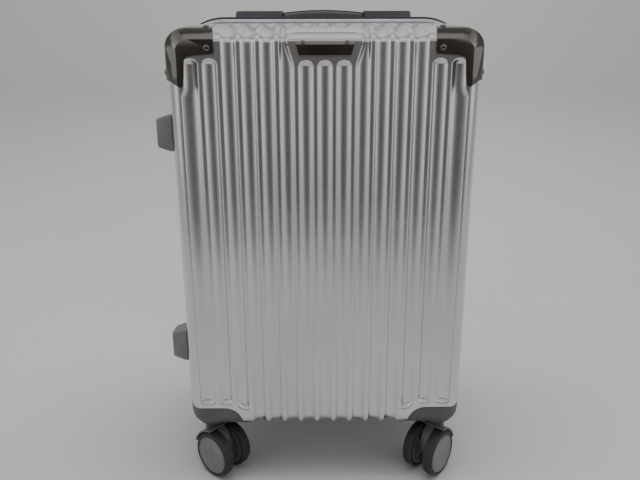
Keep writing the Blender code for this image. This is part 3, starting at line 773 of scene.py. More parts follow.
def guard_skin(side, lift):
    """A closed solid whose surface is the guard's: flat in front, a crisp crease, and a sloped flange."""
    steps = (
        (0.0, 0.0240, 0.0318), (0.0003, 0.0233, 0.0311), (0.0130, 0.0103, 0.0196), (0.0160, 0.0090, 0.0180)
    )
    steps += ((0.028, 0.0060, 0.0142), (0.042, 0.0042, 0.0111), (0.055, 0.0029, 0.0085))
    rings = []
    for back, inset_x, inset_z in steps:
        w, h = HALF_W - inset_x + lift * 0.55, TOP - inset_z + lift * 0.55
        cx, cz = 0.0145, 0.0120
        if back > 0.002:
            grow = smooth(back, 0, 0.05)
            cx, cz = 0.0145 + 0.034 * float(grow), 0.0120 + 0.034 * float(grow)
        corner = [
            (w - cx * (1 - math.sin(a)), h - cz * (1 - math.cos(a))) for a in np.linspace(0, math.pi / 2, 17)
        ]
        ring = [(-x, z) for x, z in reversed(corner)] + corner
        ring = [(-w, MID_Z)] + ring + [(w, MID_Z)]
        y = side * (FACE + lift - back)
        rings.append([(x, y, z) for x, z in ring])
    return loft(rings)


def outline_arc(centre, radius, start, end, steps=5):
    return [
        (centre[0] + radius * math.cos(math.radians(a)), centre[1] + radius * math.sin(math.radians(a)))
        for a in np.linspace(start, end, steps)
    ]


def make_guard(side, name, side_x, hand):
    """A bent, polished corner plate: an arm along the top, a leg down the corner, and a flange over each."""
    obj = as_object(guard_skin(side, GUARD_LIFT))
    boolean(obj, [as_object(guard_skin(side, GUARD_LIFT - GUARD_THICK))])
    shape = [(ARM_X + 0.004, 0.56), (ARM_X + 0.0025, TOP - 0.018), (ARM_X, TOP - 0.026)]
    shape += outline_arc((ARM_X + 0.0025, ARM_Z + 0.0028), 0.0025, 180, 270)
    shape += outline_arc((LEG_X - 0.0065, ARM_Z - 0.0078), 0.0065, 80, 0, 6)
    shape += [
        (LEG_X + 0.0008, LEG_Z + 0.011), (LEG_X + 0.0020, LEG_Z + 0.002), (LEG_X + 0.0036, LEG_Z),
        (0.1485, LEG_Z)
    ]
    shape += [(0.1580, LEG_Z + 0.0058), (0.1700, LEG_Z + 0.0095), (0.19, LEG_Z + 0.0125), (0.19, 0.56)]
    shape = [(side_x * x, z) for x, z in shape]
    region = as_object(prism(shape, "Y", *sorted((side * 0.05, side * 0.13))))
    slant = [(0.05, 0.14), (0.20, 0.14), (0.20, 0.079), (0.1560, 0.079), (0.1400, 0.0915), (0.05, 0.0915)]
    slant = [(side_x * x, side * y) for x, y in slant]
    boolean(region, [as_object(prism(slant, "Z", 0.40, 0.60))], "INTERSECT")
    boolean(obj, [region], "INTERSECT")
    edge_bevel(obj, 0.00045, 2, 25)
    front_y = side * (FACE + GUARD_LIFT - 0.0004)
    rivets = [rivet((side_x * 0.1185, front_y, TOP - 0.0382), (0, side, 0))]
    rivets.append(rivet((side_x * 0.121, side * 0.0945, TOP - 0.0162), (0, side * 0.40, 1)))
    rivets.append(rivet((side_x * 0.1662, side * 0.088, TOP - 0.0600), (side_x, side * 0.18, 0)))
    whole = merged(obj.data, *rivets)
    bpy.data.objects.remove(obj)
    node = f"{name}_corner_guard_{hand}"
    piece(f"{name}_guard_{hand}", whole, f"{name}_case", "dark_chrome", replaces=[node], sharp=22)


def make_badge():
    """A plain trapezoid plate bent over the top front edge, with two rivets at its crease."""
    lift = 0.0026
    front = -(FACE + lift)
    rows = [
        (0.0262, front, TOP - 0.0457), (0.0294, front, TOP - 0.0352), (0.0296, front + 0.0004, TOP - 0.0345)
    ]
    rows.append((0.0320, front + 0.0108, TOP - 0.0222))
    verts, faces = [], []
    for thick in (0, 0.0015):
        for half, y, z in rows:
            verts += [(-half, y + thick, z - thick * 0.4), (half, y + thick, z - thick * 0.4)]
    for base in (0, 8):
        faces += [[base + 2 * i, base + 2 * i + 1, base + 2 * i + 3, base + 2 * i + 2] for i in range(3)]
    rim = [0, 1, 3, 5, 7, 6, 4, 2]
    faces += [[rim[i], rim[(i + 1) % 8], rim[(i + 1) % 8] + 8, rim[i] + 8] for i in range(8)]
    obj = as_object(build(verts, faces))
    edge_bevel(obj, 0.0004, 2, 20)
    spots = [
        rivet((x, front + 0.0012, TOP - 0.0332), (0, -1, 0.55), 0.0023, 0.0009) for x in (-0.0222, 0.0222)
    ]
    whole = merged(obj.data, *spots)
    bpy.data.objects.remove(obj)
    piece("badge_plate", whole, "front_case", "dark_chrome", replaces=["front_badge"], sharp=22)


# ---------------------------------------------------------------- seam


ZIP_PROUD = 0.0092
TOOTH_GAP = 0.0026


def seam_path(inset, steps=22):
    """The seam's outline drawn in by an inset, as (x, z) points, and each point's outward direction."""
    path, outward = [], []
    mid_x, mid_z = HALF_W - SEAM_R, (TOP - BOTTOM) / 2 - SEAM_R
    for turn, (sx, sz) in enumerate(((1, 1), (-1, 1), (-1, -1), (1, -1))):
        for i in range(steps + 1):
            a = math.pi / 2 * (turn + i / steps)
            out = Vector((math.cos(a), 0, math.sin(a)))
            path.append(Vector((sx * mid_x, 0, MID_Z + sz * mid_z)) + out * (SEAM_R - inset))
            outward.append(out)
    return path, outward


def make_piping(side, name):
    """The raised plastic band beside the zip, with a rounded top and a small lip on each side."""
    low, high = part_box(f"{name}_piping")
    y0, y1 = sorted((abs(low.y), abs(high.y)))
    proud = high.x - HALF_W
    section = [
        (-0.0004, y0), (proud * 0.35, y0 - 0.0002), (proud * 0.42, y0 + 0.0005), (proud * 0.8, y0 + 0.0009)
    ]
    section += [
        (proud * 0.96, y0 + 0.0018), (proud, (y0 + y1) / 2), (proud * 0.96, y1 - 0.0018),
        (proud * 0.8, y1 - 0.0009)
    ]
    section += [(proud * 0.42, y1 - 0.0005), (proud * 0.35, y1 + 0.0001), (-0.0004, y1)]
    path, outward = seam_path(0)
    rings = [[p + o * h + Vector((0, side * y, 0)) for h, y in section] for p, o in zip(path, outward)]
    piece(
        f"{name}_band", loop_loft(rings), f"{name}_case", "seam_piping", replaces=[f"{name}_piping"], sharp=50
    )


def resample(path, outward, spacing):
    points = np.array([tuple(p) for p in path + path[:1]])
    normals = np.array([tuple(o) for o in outward + outward[:1]])
    length = np.concatenate([[0], np.cumsum(np.linalg.norm(np.diff(points, axis=0), axis=1))])
    at = np.arange(0, length[-1], spacing)
    return [
        (
            Vector([np.interp(s, length, points[:, i]) for i in range(3)]),
            Vector([np.interp(s, length, normals[:, i]) for i in range(3)]).normalized()
        )
        for s in at
    ]


def make_zip(side, name):
    """Half of the zip: a woven tape round three sides, with its row of moulded teeth."""
    node = f"{name}_zip_tape"
    gusset_low, gusset_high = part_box("hinge_gusset")
    open_z = (gusset_low.z, gusset_high.z)

    def on_hinge(point):
        return point.x < -HALF_W + 0.02 and open_z[0] < point.z < open_z[1]

    path, outward = seam_path(0.0012, 30)
    spots = resample(path, outward, 0.004)
    start = next(i for i, (p, _) in enumerate(spots) if on_hinge(p))
    spots = [s for s in spots[start:] + spots[:start] if not on_hinge(s[0])]
    section = [
        (0.0003, 0.0042), (0.0, 0.0078), (-0.0011, 0.0078), (-0.0011, 0.0008), (ZIP_PROUD - 0.0006, 0.0008)
    ]
    section += [(ZIP_PROUD, 0.0014), (ZIP_PROUD, 0.0034), (ZIP_PROUD - 0.0006, 0.0040)]
    tape = loft([[p + o * h + Vector((0, side * y, 0)) for h, y in section] for p, o in spots])
    piece(f"{name}_tape", tape, f"{name}_case", "zip_tape", replaces=[node], sharp=50)
    bm = bmesh.new()
    teeth = [s for s in resample(path, outward, TOOTH_GAP) if not on_hinge(s[0])]
    shift = TOOTH_GAP / 2 if side == REAR else 0.0
    for p, o in teeth[0 if side == FRONT else 1 :]:
        run = Vector((-o.z, 0, o.x))
        turn = Matrix((o, Vector((0, 1, 0)), run)).transposed().to_4x4()
        place = Matrix.Translation(p + run * shift + o * 0.0078 + Vector((0, side * 0.0007, 0)))
        bmesh.ops.create_cube(
            bm, size=1.0, matrix=place @ turn @ Matrix.Diagonal((0.0022, 0.0016, 0.0012, 1))
        )
    piece(f"{name}_zip_teeth", from_bmesh(bm), f"{name}_case", "zip_tape", "teeth", sharp=20)


def make_gusset():
    """The cloth hinge between the halves: a strip tucked into one soft fold."""
    low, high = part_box("hinge_gusset")
    rows = np.linspace(low.z, high.z, 60)
    turns = np.linspace(-1, 1, 21)
    grid = [[(low.x + 0.0012 + 0.0065 * (1 - t * t) ** 1.3, high.y * t, z) for t in turns] for z in rows]
    verts = [p for row in grid for p in row]
    n = len(turns)
    faces = [[a, a + 1, a + n + 1, a + n] for i in range(len(rows) - 1) for a in range(i * n, i * n + n - 1)]
    obj = as_object(build(verts, faces))
    skin = obj.modifiers.new("thickness", "SOLIDIFY")
    skin.thickness = 0.0009
    boolean(obj, [])
    obj = piece("hinge_cloth", obj, None, "lining_fabric", "strap", ["hinge_gusset"], 60)
    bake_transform(obj)


def make_slider(name):
    """A zip slider with rounded shoulders, a bridge, and a flat pull with a slot near its end."""
    low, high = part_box(f"zip_slider_{name}")
    z = (low.z + high.z) / 2
    body = [(-0.0042, z - 0.0055), (-0.0026, z - 0.0062), (0.0026, z - 0.0062), (0.0042, z - 0.0055)]
    body += [
        (0.0030, z), (0.0042, z + 0.0055), (0.0026, z + 0.0062), (-0.0026, z + 0.0062), (-0.0042, z + 0.0055),
        (-0.0030, z)
    ]
    back = rounded_box((low.x + 0.0002, low.x + 0.0012), (-0.0036, 0.0036), (z - 0.0052, z + 0.0052), 0.0004)
    plate = prism(body, "X", low.x + 0.0024, low.x + 0.0040, 0.0005)
    post = rounded_box((low.x + 0.0010, low.x + 0.0062), (-0.0009, 0.0009), (z - 0.0032, z + 0.0032), 0.0004)
    bridge = rounded_box(
        (low.x + 0.0036, low.x + 0.0062), (-0.0012, 0.0012), (z - 0.0040, z + 0.0040), 0.0006
    )
    pull = as_object(
        rounded_box((high.x - 0.0016, high.x), (-0.0024, 0.0140), (z - 0.0040, z + 0.0040), 0.0006)
    )
    boolean(pull, [as_object(
        rounded_box((high.x - 0.004, high.x + 0.002), (0.0072, 0.0118), (z - 0.0021, z + 0.0021), 0.0006)
    )])
    whole = merged(back, plate, post, bridge, pull.data)
    bpy.data.objects.remove(pull)
    piece(
        f"zip_pull_{name}", whole, f"zip_slider_{name}", "zip_metal", replaces=[f"zip_slider_{name}"],
        sharp=30
    )


# ---------------------------------------------------------------- lock


def make_lock():
    """The combination lock's body with three dial windows and a key cylinder."""
    low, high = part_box("lock_body")
    obj = as_object(rounded_box((low.x, high.x), (low.y, high.y), (low.z, high.z), 0.0016, 3))
    cutters = []
    for label in "123":
        a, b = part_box(f"lock_dial_{label}")
        cutters.append(as_object(rounded_box(
            (a.x - 0.001, 0.19), (a.y - 0.0007, b.y + 0.0007), (a.z - 0.0005, b.z + 0.0005), 0.0003, 1
        )))
    boolean(obj, cutters)
    mid_y = (low.y + high.y) / 2
    cylinder = [
        (0.0042, high.x - 0.001), (0.0042, high.x + 0.0004), (0.0036, high.x + 0.0008),
        (0.0032, high.x + 0.0005), (0.0006, high.x + 0.0005)
    ]
    edge_bevel(obj, 0.0003, 2, 40)
    boolean(
        obj, [as_object(lathe([(0.0047, high.x - 0.0012), (0.0047, 0.2)], "X", (mid_y, low.z + 0.0095), 40))]
    )
    piece("lock_case", obj, "rear_case", "grey_plastic", "caster", ["lock_body"], 30)
    key = as_object(lathe(cylinder, "X", (mid_y, low.z + 0.0095), 40))
    boolean(key, [as_object(rounded_box(
        (high.x - 0.0004, 0.2), (mid_y - 0.0005, mid_y + 0.0005), (low.z + 0.0072, low.z + 0.0118), 0.0001, 1
    ))])
    piece("lock_key_cylinder", key, "rear_case", "zip_metal", sharp=30)
    for label in "123":
        make_dial(label)


def make_dial(label):
    """A knurled number wheel with its ten figures round it."""
    low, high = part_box(f"lock_dial_{label}")
    centre = ((low.x + high.x) / 2, (low.y + high.y) / 2)
    radius = (high.y - low.y) / 2
    steps = 80
    rings = []
    levels = ((low.z, 0.0018), (low.z, 0.0007), (low.z + 0.0004, 0.0))
    levels += ((high.z - 0.0004, 0.0), (high.z, 0.0007), (high.z, 0.0018))
    for z, inset in levels:
        ring = []
        for i in range(steps):
            notch = 0.00035 if i % 8 == 4 and inset == 0.0 else 0.0
            a = 2 * math.pi * i / steps
            r = radius - inset - notch
            ring.append((centre[0] + r * math.cos(a), centre[1] + r * math.sin(a), z))
        rings.append(ring)
    piece(
        f"lock_wheel_{label}", loft(rings), f"lock_dial_{label}", "zip_metal", "teeth",
        [f"lock_dial_{label}"], 30
    )
    figures = []
    for number in range(10):
        curve = bpy.data.curves.new("figure", "FONT")
        curve.body = str(number)
        curve.size = 0.0034
        curve.extrude = 0.00005
        curve.align_x, curve.align_y = "CENTER", "CENTER"
        text = as_object(curve)
        made = bpy.data.meshes.new_from_object(text.evaluated_get(bpy.context.evaluated_depsgraph_get()))
        bpy.data.objects.remove(text)
        a = 2 * math.pi * number / 10
        out, run = Vector((math.cos(a), math.sin(a), 0)), Vector((0, 0, 1))
        turn = Matrix((run.cross(out), run, out)).transposed().to_4x4() @ Matrix.Rotation(math.pi / 2, 4, "Z")
        spot = Matrix.Translation(Vector((*centre, (low.z + high.z) / 2)) + out * (radius + 0.00002))
        figures.append(moved(made, spot @ turn))
    piece(f"lock_figures_{label}", merged(*figures), f"lock_dial_{label}", "zip_metal", "figures")


# ---------------------------------------------------------------- handles


def handle_frame(place_on):
    """A handle's own axes (length, across, outwards) as the case's, on its top or its right side."""
    low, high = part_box(f"{place_on}_handle_base")
    y = (low.y + high.y) / 2
    if place_on == "top":
        return Matrix.Translation((0, y, TOP))
    turn = Matrix(((0, 0, 1, 0), (0, 1, 0, 0), (-1, 0, 0, 0), (0, 0, 0, 1)))
    return Matrix.Translation((HALF_W, y, (low.z + high.z) / 2)) @ turn


def arch_section(half_w, low, high, soft, steps=5):
    """A rounded rectangle across a grip, as (across, outwards) points."""
    corners = (
        (half_w - soft, low + soft, -90), (half_w - soft, high - soft, 0), (soft - half_w, high - soft, 90),
        (soft - half_w, low + soft, 180)
    )
    return [p for x, z, start in corners for p in outline_arc((x, z), soft, start, start + 90, steps)]


def make_handle(place_on):
    """A carry handle: two end blocks, a plate between them, and a bowed soft grip edged in black."""
    low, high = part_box(f"{place_on}_handle_base")
    grip_low, grip_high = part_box(f"{place_on}_handle_grip")
    top_side = place_on == "top"
    reach = (high.x - low.x) / 2 if top_side else (high.z - low.z) / 2
    rise = (high.z - TOP) if top_side else (high.x - HALF_W)
    crown = (grip_high.z - TOP) if top_side else (grip_high.x - HALF_W)
    half_w = (high.y - low.y) / 2
    inner = 0.0515
    turn = handle_frame(place_on)
    blocks = []
    for side in (-1, 1):
        soft = min(0.0035, rise * 0.35)
        shape = [(inner + 0.003, -0.004), (reach, -0.004), (reach, rise * 0.45)]
        shape += outline_arc((reach - soft, rise - soft), soft, 0, 90, 6)
        shape += [(inner - 0.0030, rise), (inner - 0.0034, rise - 0.0010), (inner + 0.003, 0.0030)]
        block = as_object(prism([(side * x, z) for x, z in shape], "Y", -half_w, half_w))
        edge_bevel(block, 0.0016, 3, 30)
        groove = rounded_box(
            sorted((side * (reach - 0.016), side * (reach - 0.0152))), (-half_w - 0.01, half_w + 0.01),
            (rise - 0.0006, 0.03), 0.0002, 1
        )
        boolean(block, [as_object(groove)])
        blocks.append(block.data)
        bpy.data.objects.remove(block)
    plate = rounded_box((-inner - 0.003, inner + 0.003), (-0.012, 0.012), (-0.002, 0.0021), 0.0006)
    obj = as_object(moved(merged(plate, *blocks), turn))
    boolean(obj, [as_object(half_solid(REAR, grow=-0.002))])
    piece(
        f"{place_on}_handle_blocks", obj, "rear_case", "grey_plastic", "block", [f"{place_on}_handle_base"],
        30
    )

    spans = np.linspace(-1, 1, 41)
    thick = 0.0135 if top_side else 0.0085
    rings, edge_rings = [], []
    for t in spans:
        x = (inner - 0.0040) * t
        up = crown - (0.0034 if top_side else 0.0) - 0.0030 * t * t
        under = max(0.0034, up - thick - 0.006 * float(smooth(abs(t), 0.62, 1.0)))
        taper = 0.0006 * (abs(t) > 0.985)
        rings.append(
            [(x, y, z) for y, z in arch_section(half_w - 0.0012 - taper, under, up - 0.0010 - taper, 0.0034)]
        )
        edge_rings.append([(x, y, z) for y, z in arch_section(half_w - 0.0030, up - 0.0022, up, 0.0008, 3)])
    grip = moved(loft(rings), turn)
    name = f"{place_on}_grip"
    tongues = [moved(
        rounded_box(sorted((s * 0.046, s * 0.088)), (-0.008, 0.008), (0.0031, 0.0064), 0.0006), turn
    ) for s in (-1, 1)]
    piece(
        f"{place_on}_handle_soft_grip", merged(grip, *tongues), name, "grip_rubber",
        replaces=[f"{place_on}_handle_grip"], sharp=45
    )
    piece(
        f"{place_on}_handle_grip_edge", moved(loft(edge_rings), turn), name, "grip_rubber", "grip_edge",
        sharp=45
    )


def make_foot(side, name, label):
    """A tapered side foot with a softened rim and a shallow recess in its resting face."""
    node = f"{name}_foot_{label}"
    low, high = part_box(node)
    y, z = (low.y + high.y) / 2, (low.z + high.z) / 2
    half_y, half_z = (high.y - low.y) / 2, (high.z - low.z) / 2
    steps = (
        (-0.1695, 1.0, 1.0), (-0.1735, 0.985, 0.99), (-0.1815, 0.86, 0.88), (-0.1868, 0.79, 0.80),
        (low.x + 0.0004, 0.75, 0.77), (low.x, 0.70, 0.73), (low.x, 0.60, 0.66), (low.x + 0.0008, 0.56, 0.63)
    )
    rings = []
    for x, across, up in steps:
        hy, hz = half_y * across, half_z * up
        rings.append([(x, y + a, z + b) for a, b in arch_section(hy, -hz, hz, 0.0032, 6)])
    piece(f"{name}_side_foot_{label}", loft(rings), f"{name}_case", "grey_plastic", "foot", [node], 40)


# ---------------------------------------------------------------- telescopic handle


def tube_ring(x, y, half_x, half_y, soft, z):
    return [(x + a, y + b, z) for a, b in arch_section(half_x, -half_y, half_y, soft, 5)]


def make_tube(node, label, body, wall=0.0012):
    """A rounded oblong tube with a catch hole near its top."""
    low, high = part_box(node)
    x, y = (low.x + high.x) / 2, (low.y + high.y) / 2
    hx, hy = (high.x - low.x) / 2, (high.y - low.y) / 2
    rings = []
    for z, inset in ((low.z, 0.0004), (low.z + 0.0004, 0.0), (high.z - 0.0004, 0.0), (high.z, 0.0004)):
        rings.append(tube_ring(x, y, hx - inset, hy - inset, 0.0030 - inset, z))
    for z in (high.z, low.z):
        rings.append(tube_ring(x, y, hx - wall, hy - wall, 0.0018, z))
    obj = as_object(loop_loft(rings))
    hole = lathe([(0.0022, y), (0.0022, y + 0.02)], "Y", (x, low.z + 0.012), 32)
    boolean(obj, [as_object(hole)])
    piece(label, obj, body, "handle_tube", replaces=[node], sharp=40)


def make_trolley():
    """The telescopic handle: a tray in the case's top, two stages of tubes, a grip and a ribbed button."""
    low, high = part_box("trolley_bezel")
    floor = low.z + 0.012
    tray = as_object(rounded_box((low.x, high.x), (low.y, high.y), (low.z, high.z), 0.0022, 3))
    cutters = [as_object(rounded_box(
        (low.x + 0.005, high.x - 0.005), (low.y + 0.004, high.y - 0.004), (floor, 0.56), 0.0026, 3
    ))]
    for hand in HANDS:
        a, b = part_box(f"trolley_middle_tube_{hand}")
        cx, cy = (a.x + b.x) / 2, (a.y + b.y) / 2
        rings = [tube_ring(
            cx, cy, (b.x - a.x) / 2 + 0.0003, (b.y - a.y) / 2 + 0.0003, 0.003, z
        ) for z in (low.z - 0.01, high.z)]
        cutters.append(as_object(loft(rings)))
    boolean(tray, cutters)
    edge_bevel(tray, 0.0005, 2, 40)
    piece("trolley_tray", tray, "rear_case", "grey_plastic", "block", ["trolley_bezel"], 35)
    for hand in HANDS:
        make_tube(f"trolley_middle_tube_{hand}", f"lower_tube_{hand}", "trolley_lower_stage")
        make_tube(f"trolley_inner_tube_{hand}", f"upper_tube_{hand}", "trolley_upper_stage")

    low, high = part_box("trolley_grip")
    mid_y = (low.y + high.y) / 2
    half = (high.x - low.x) / 2
    rings = []
    for t in np.linspace(-1, 1, 49):
        end = math.sqrt(max(0.0, 1 - ((abs(t) - 0.94) / 0.06) ** 2)) if abs(t) > 0.94 else 1.0
        end = 0.55 + 0.45 * end
        hy = (high.y - low.y) / 2 * (0.96 + 0.04 * math.cos(t * 3)) * end
        under = low.z + 0.0035 * (1 - smooth(abs(t), 0.30, 0.62)) + (1 - end) * 0.004
        top = high.z - (1 - end) * 0.006
        rings.append([
            (half * t, mid_y + y, z) for y, z in arch_section(hy, float(under), top, min(0.0065, hy * 0.8), 7)
        ])
    grip = as_object(loft(rings))
    b_low, b_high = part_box("trolley_button")
    pocket = rounded_box(
        (b_low.x - 0.0005, b_high.x + 0.0005), (b_low.y - 0.0005, b_high.y + 0.0005),
        (b_low.z - 0.0034, 0.56), 0.0010, 2
    )
    boolean(grip, [as_object(pocket)])
    piece(
        "trolley_soft_grip", grip, "trolley_upper_stage", "grip_rubber", replaces=["trolley_grip"], sharp=40
    )
    button = rounded_box((b_low.x, b_high.x), (b_low.y, b_high.y), (b_low.z, b_high.z), 0.0020, 4)
    ribs = [rounded_box(
        (x - 0.0004, x + 0.0004), (b_low.y + 0.0018, b_high.y - 0.0018), (b_high.z - 0.0006, b_high.z),
        0.0002, 1
    ) for x in np.linspace(-0.0105, 0.0105, 8)]
    piece(
        "trolley_release_button", merged(button, *ribs), "trolley_button", "grey_plastic", "block",
        ["trolley_button"], 35
    )
    outer_frame = NODES["trolley_outer_frame"].data
    outer_frame.materials.clear()
    outer_frame.materials.append(MATS["handle_tube"])


# ---------------------------------------------------------------- casters


def caster_frame(corner):
    """A caster's own axes as the case's: X along its axle, Z up, from the swivel's axis on the floor."""
    swivel = JOINTS[f"swivel_{corner}"]
    axle = AXES[f"wheel_spin_{corner}_b"].copy()
    axle.z = 0
    axle.normalize()
    trail = JOINTS[f"wheel_spin_{corner}_b"] - swivel
    trail.z = 0
    back = -trail.normalized()
    if axle.cross(back).z < 0:
        axle = -axle
    turn = Matrix((axle, back, Vector((0, 0, 1)))).transposed().to_4x4()
    return Matrix.Translation((swivel.x, swivel.y, 0)) @ turn, trail.length


def make_caster(corner):
    """Fork, fender, axle and two wheels of one swivelling caster."""
    turn, trail = caster_frame(corner)
    radius = JOINTS[f"wheel_spin_{corner}_b"].z
    name, hand = corner.split("_")
    top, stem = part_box(f"{name}_wheel_housing_{hand}")[0].z - 0.001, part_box(f"caster_fork_{corner}")[1].z
    leg = [
        (0.0098, top - 0.0008), (0.0100, top - 0.0060), (0.0085, top - 0.0120), (0.0050, top - 0.0190),
        (0.0, top - 0.0250)
    ]
    leg += outline_arc((-trail, radius), 0.0098, 345, 200, 14)
    leg += [
        (-trail - 0.0102, radius + 0.004), (-trail - 0.0104, radius + 0.011),
        (-trail - 0.0085, radius + 0.018)
    ]
    leg += [(-trail - 0.0035, radius + 0.0245), (-0.0100, top - 0.0016)]
    slab = as_object(prism(leg, "X", -0.0058, 0.0058))
    edge_bevel(slab, 0.0010, 3, 30)
    boss = [
        (0.0050, top - 0.0085), (0.0098, top - 0.0085), (0.0110, top - 0.0070), (0.0110, top - 0.0007),
        (0.0103, top)
    ]
    boss = lathe(boss + [(0.0046, top), (0.0046, stem - 0.0005), (0.0040, stem)], "Z", (0, 0), 48)
    sweep = np.radians(np.linspace(16, 86, 17))
    outer = [
        (-trail + (radius + 0.0034) * math.cos(s), radius + (radius + 0.0034) * math.sin(s)) for s in sweep
    ]
    inner = [(
        -trail + (radius + 0.0013) * math.cos(s), radius + (radius + 0.0013) * math.sin(s)
    ) for s in sweep[::-1]]
    fender = as_object(prism(outer + inner, "X", -0.0192, 0.0192))
    edge_bevel(fender, 0.0004, 2, 40)
    axle = lathe(
        [(0.0028, -0.0185), (0.0030, -0.018), (0.0030, 0.018), (0.0028, 0.0185)], "X", (-trail, radius), 32
    )
    whole = moved(merged(slab.data, boss, fender.data, axle), turn)
    for obj in (slab, fender):
        bpy.data.objects.remove(obj)
    piece(
        f"fork_{corner}", whole, f"caster_{corner}", "grey_plastic", "caster", [f"caster_fork_{corner}"], 35
    )
    for side, label in ((-1, "a"), (1, "b")):
        make_wheel(corner, label, side, turn, trail, radius)


def closed_lathe(profile, centre, steps=96):
    rings = []
    for x, r in profile:
        rings.append([(
            x, centre[0] + r * math.cos(2 * math.pi * i / steps),
            centre[1] + r * math.sin(2 * math.pi * i / steps)
        ) for i in range(steps)])
    return loop_loft(rings)


def make_wheel(corner, label, side, turn, trail, radius):
    """A tyre with rounded shoulders and a centre line, on a hub with a flat cap and inner ribs."""
    low, high, rim = 0.0074, 0.0203, radius - 0.0050
    tread = [(low, rim), (low, radius - 0.0024)]
    tread += [(
        low + 0.0034 - 0.0034 * math.cos(a), radius - 0.0026 + 0.0026 * math.sin(a)
    ) for a in np.linspace(0.3, 1.57, 6)]
    mid = (low + high) / 2
    tread += [
        (mid - 0.0006, radius), (mid - 0.0003, radius - 0.0004), (mid + 0.0003, radius - 0.0004),
        (mid + 0.0006, radius)
    ]
    tread += [(
        high - 0.0042 + 0.0042 * math.sin(a), radius - 0.0030 + 0.0030 * math.cos(a)
    ) for a in np.linspace(0, 1.35, 7)]
    tread += [(high, radius - 0.0040), (high - 0.0002, rim)]
    tyre = closed_lathe([(side * x, r) for x, r in tread], (-trail, radius))
    body = f"wheel_{corner}_{label}"
    piece(
        f"rolling_tyre_{corner}_{label}", moved(tyre, turn), body, "tyre_rubber",
        replaces=[f"tyre_{corner}_{label}"], sharp=50
    )
    face = 0.0204
    cap = [
        (0.0033, 0.0078), (0.0060, 0.0078), (0.0066, 0.0112), (rim - 0.0050, 0.0112), (rim - 0.0035, 0.0078),
        (rim - 0.0002, 0.0076)
    ]
    cap += [
        (rim - 0.0001, face - 0.0009), (rim - 0.0007, face - 0.0002), (rim - 0.0013, face),
        (rim - 0.0022, face - 0.0001)
    ]
    cap += [
        (rim - 0.0026, face - 0.0005), (rim - 0.0031, face - 0.0005), (rim - 0.0035, face - 0.0002),
        (0.0060, face - 0.0001)
    ]
    cap += [(0.0004, face)]
    hub = closed_lathe([(side * x, r) for r, x in cap], (-trail, radius))
    ribs = []
    for i in range(6):
        spoke = rounded_box((0.0085, 0.0125), (0.0050, 0.0188), (-0.0007, 0.0007), 0.0003, 1)
        spoke = moved(
            spoke, Matrix.Translation((0, -trail, radius)) @ Matrix.Rotation(math.radians(60 * i), 4, "X")
        )
        ribs.append(moved(spoke, Matrix.Diagonal((side, 1, 1, 1))) if side < 0 else spoke)
    whole = moved(merged(hub, *ribs), turn)
    piece(
        f"hub_{corner}_{label}", whole, body, "hub_plastic", replaces=[f"wheel_hub_{corner}_{label}"],
        sharp=30
    )


# ---------------------------------------------------------------- inside the case


def ribbon(points, width_axis, width, thick):
    """A flat strap along points, its width along an axis and its thickness along Y."""
    rings = []
    for p in points:
        w = width_axis * (width / 2)
        t = Vector((0, thick / 2, 0))
        rings.append([p - w - t, p + w - t, p + w + t, p - w + t])
    return loft(rings)


def make_straps():
    """Two crossed packing straps over the rear compartment, with a buckle where they cross."""
    low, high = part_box("rear_lining")
    y = low.y + 0.0035
    corners = (
        ((-0.128, BOTTOM + 0.061), (0.128, TOP - 0.095)), ((0.128, BOTTOM + 0.061), (-0.128, TOP - 0.095))
    )
    for index, (start, end) in enumerate(corners):
        points = []
        for t in np.linspace(0, 1, 33):
            sag = 0.0035 * math.sin(math.pi * t) + 0.0016 * index * math.sin(math.pi * t)
            points.append(
                Vector((start[0] + (end[0] - start[0]) * t, y + sag, start[1] + (end[1] - start[1]) * t))
            )
        run = (points[-1] - points[0]).normalized()
        across = run.cross(Vector((0, 1, 0))).normalized()
        mesh = ribbon(points, across, 0.025, 0.0012)
        strap = piece(f"packing_strap_{index + 1}", mesh, "rear_case", "lining_fabric", "strap")
    mid = (BOTTOM + TOP - 0.034) / 2
    buckle = rounded_box((-0.022, 0.022), (y + 0.0006, y + 0.0086), (mid - 0.016, mid + 0.016), 0.003, 3)
    slot = rounded_box((-0.012, 0.012), (y - 0.002, y + 0.0022), (mid - 0.0075, mid + 0.0075), 0.0008, 2)
    obj = as_object(buckle)
    boolean(obj, [as_object(slot)])
    piece("packing_strap_buckle", obj, "rear_case", "grey_plastic", "caster", sharp=35)


# ---------------------------------------------------------------- camera, floor and light


CAMERA_PLACE = (-0.0093, -0.6624, 0.4407)
CAMERA_TURN = (13.97, 0.38, -0.18)  # degrees down, to the right, and rolled
LENS, SENSOR = 29.25, 36


def make_camera():
    """The camera at the picture's angle."""
    camera = bpy.data.objects.new("camera", bpy.data.cameras.new("camera"))
    bpy.context.scene.collection.objects.link(camera)
    camera.data.lens = LENS
    camera.data.sensor_width = SENSOR
    pitch, yaw, roll = (math.radians(angle) for angle in CAMERA_TURN)
    forward = Vector((math.sin(yaw) * math.cos(pitch), math.cos(yaw) * math.cos(pitch), -math.sin(pitch)))
    turn = forward.to_track_quat("-Z", "Y").to_matrix().to_4x4() @ Matrix.Rotation(roll, 4, "Z")
    camera.matrix_world = Matrix.Translation(CAMERA_PLACE) @ turn
    bpy.context.scene.camera = camera


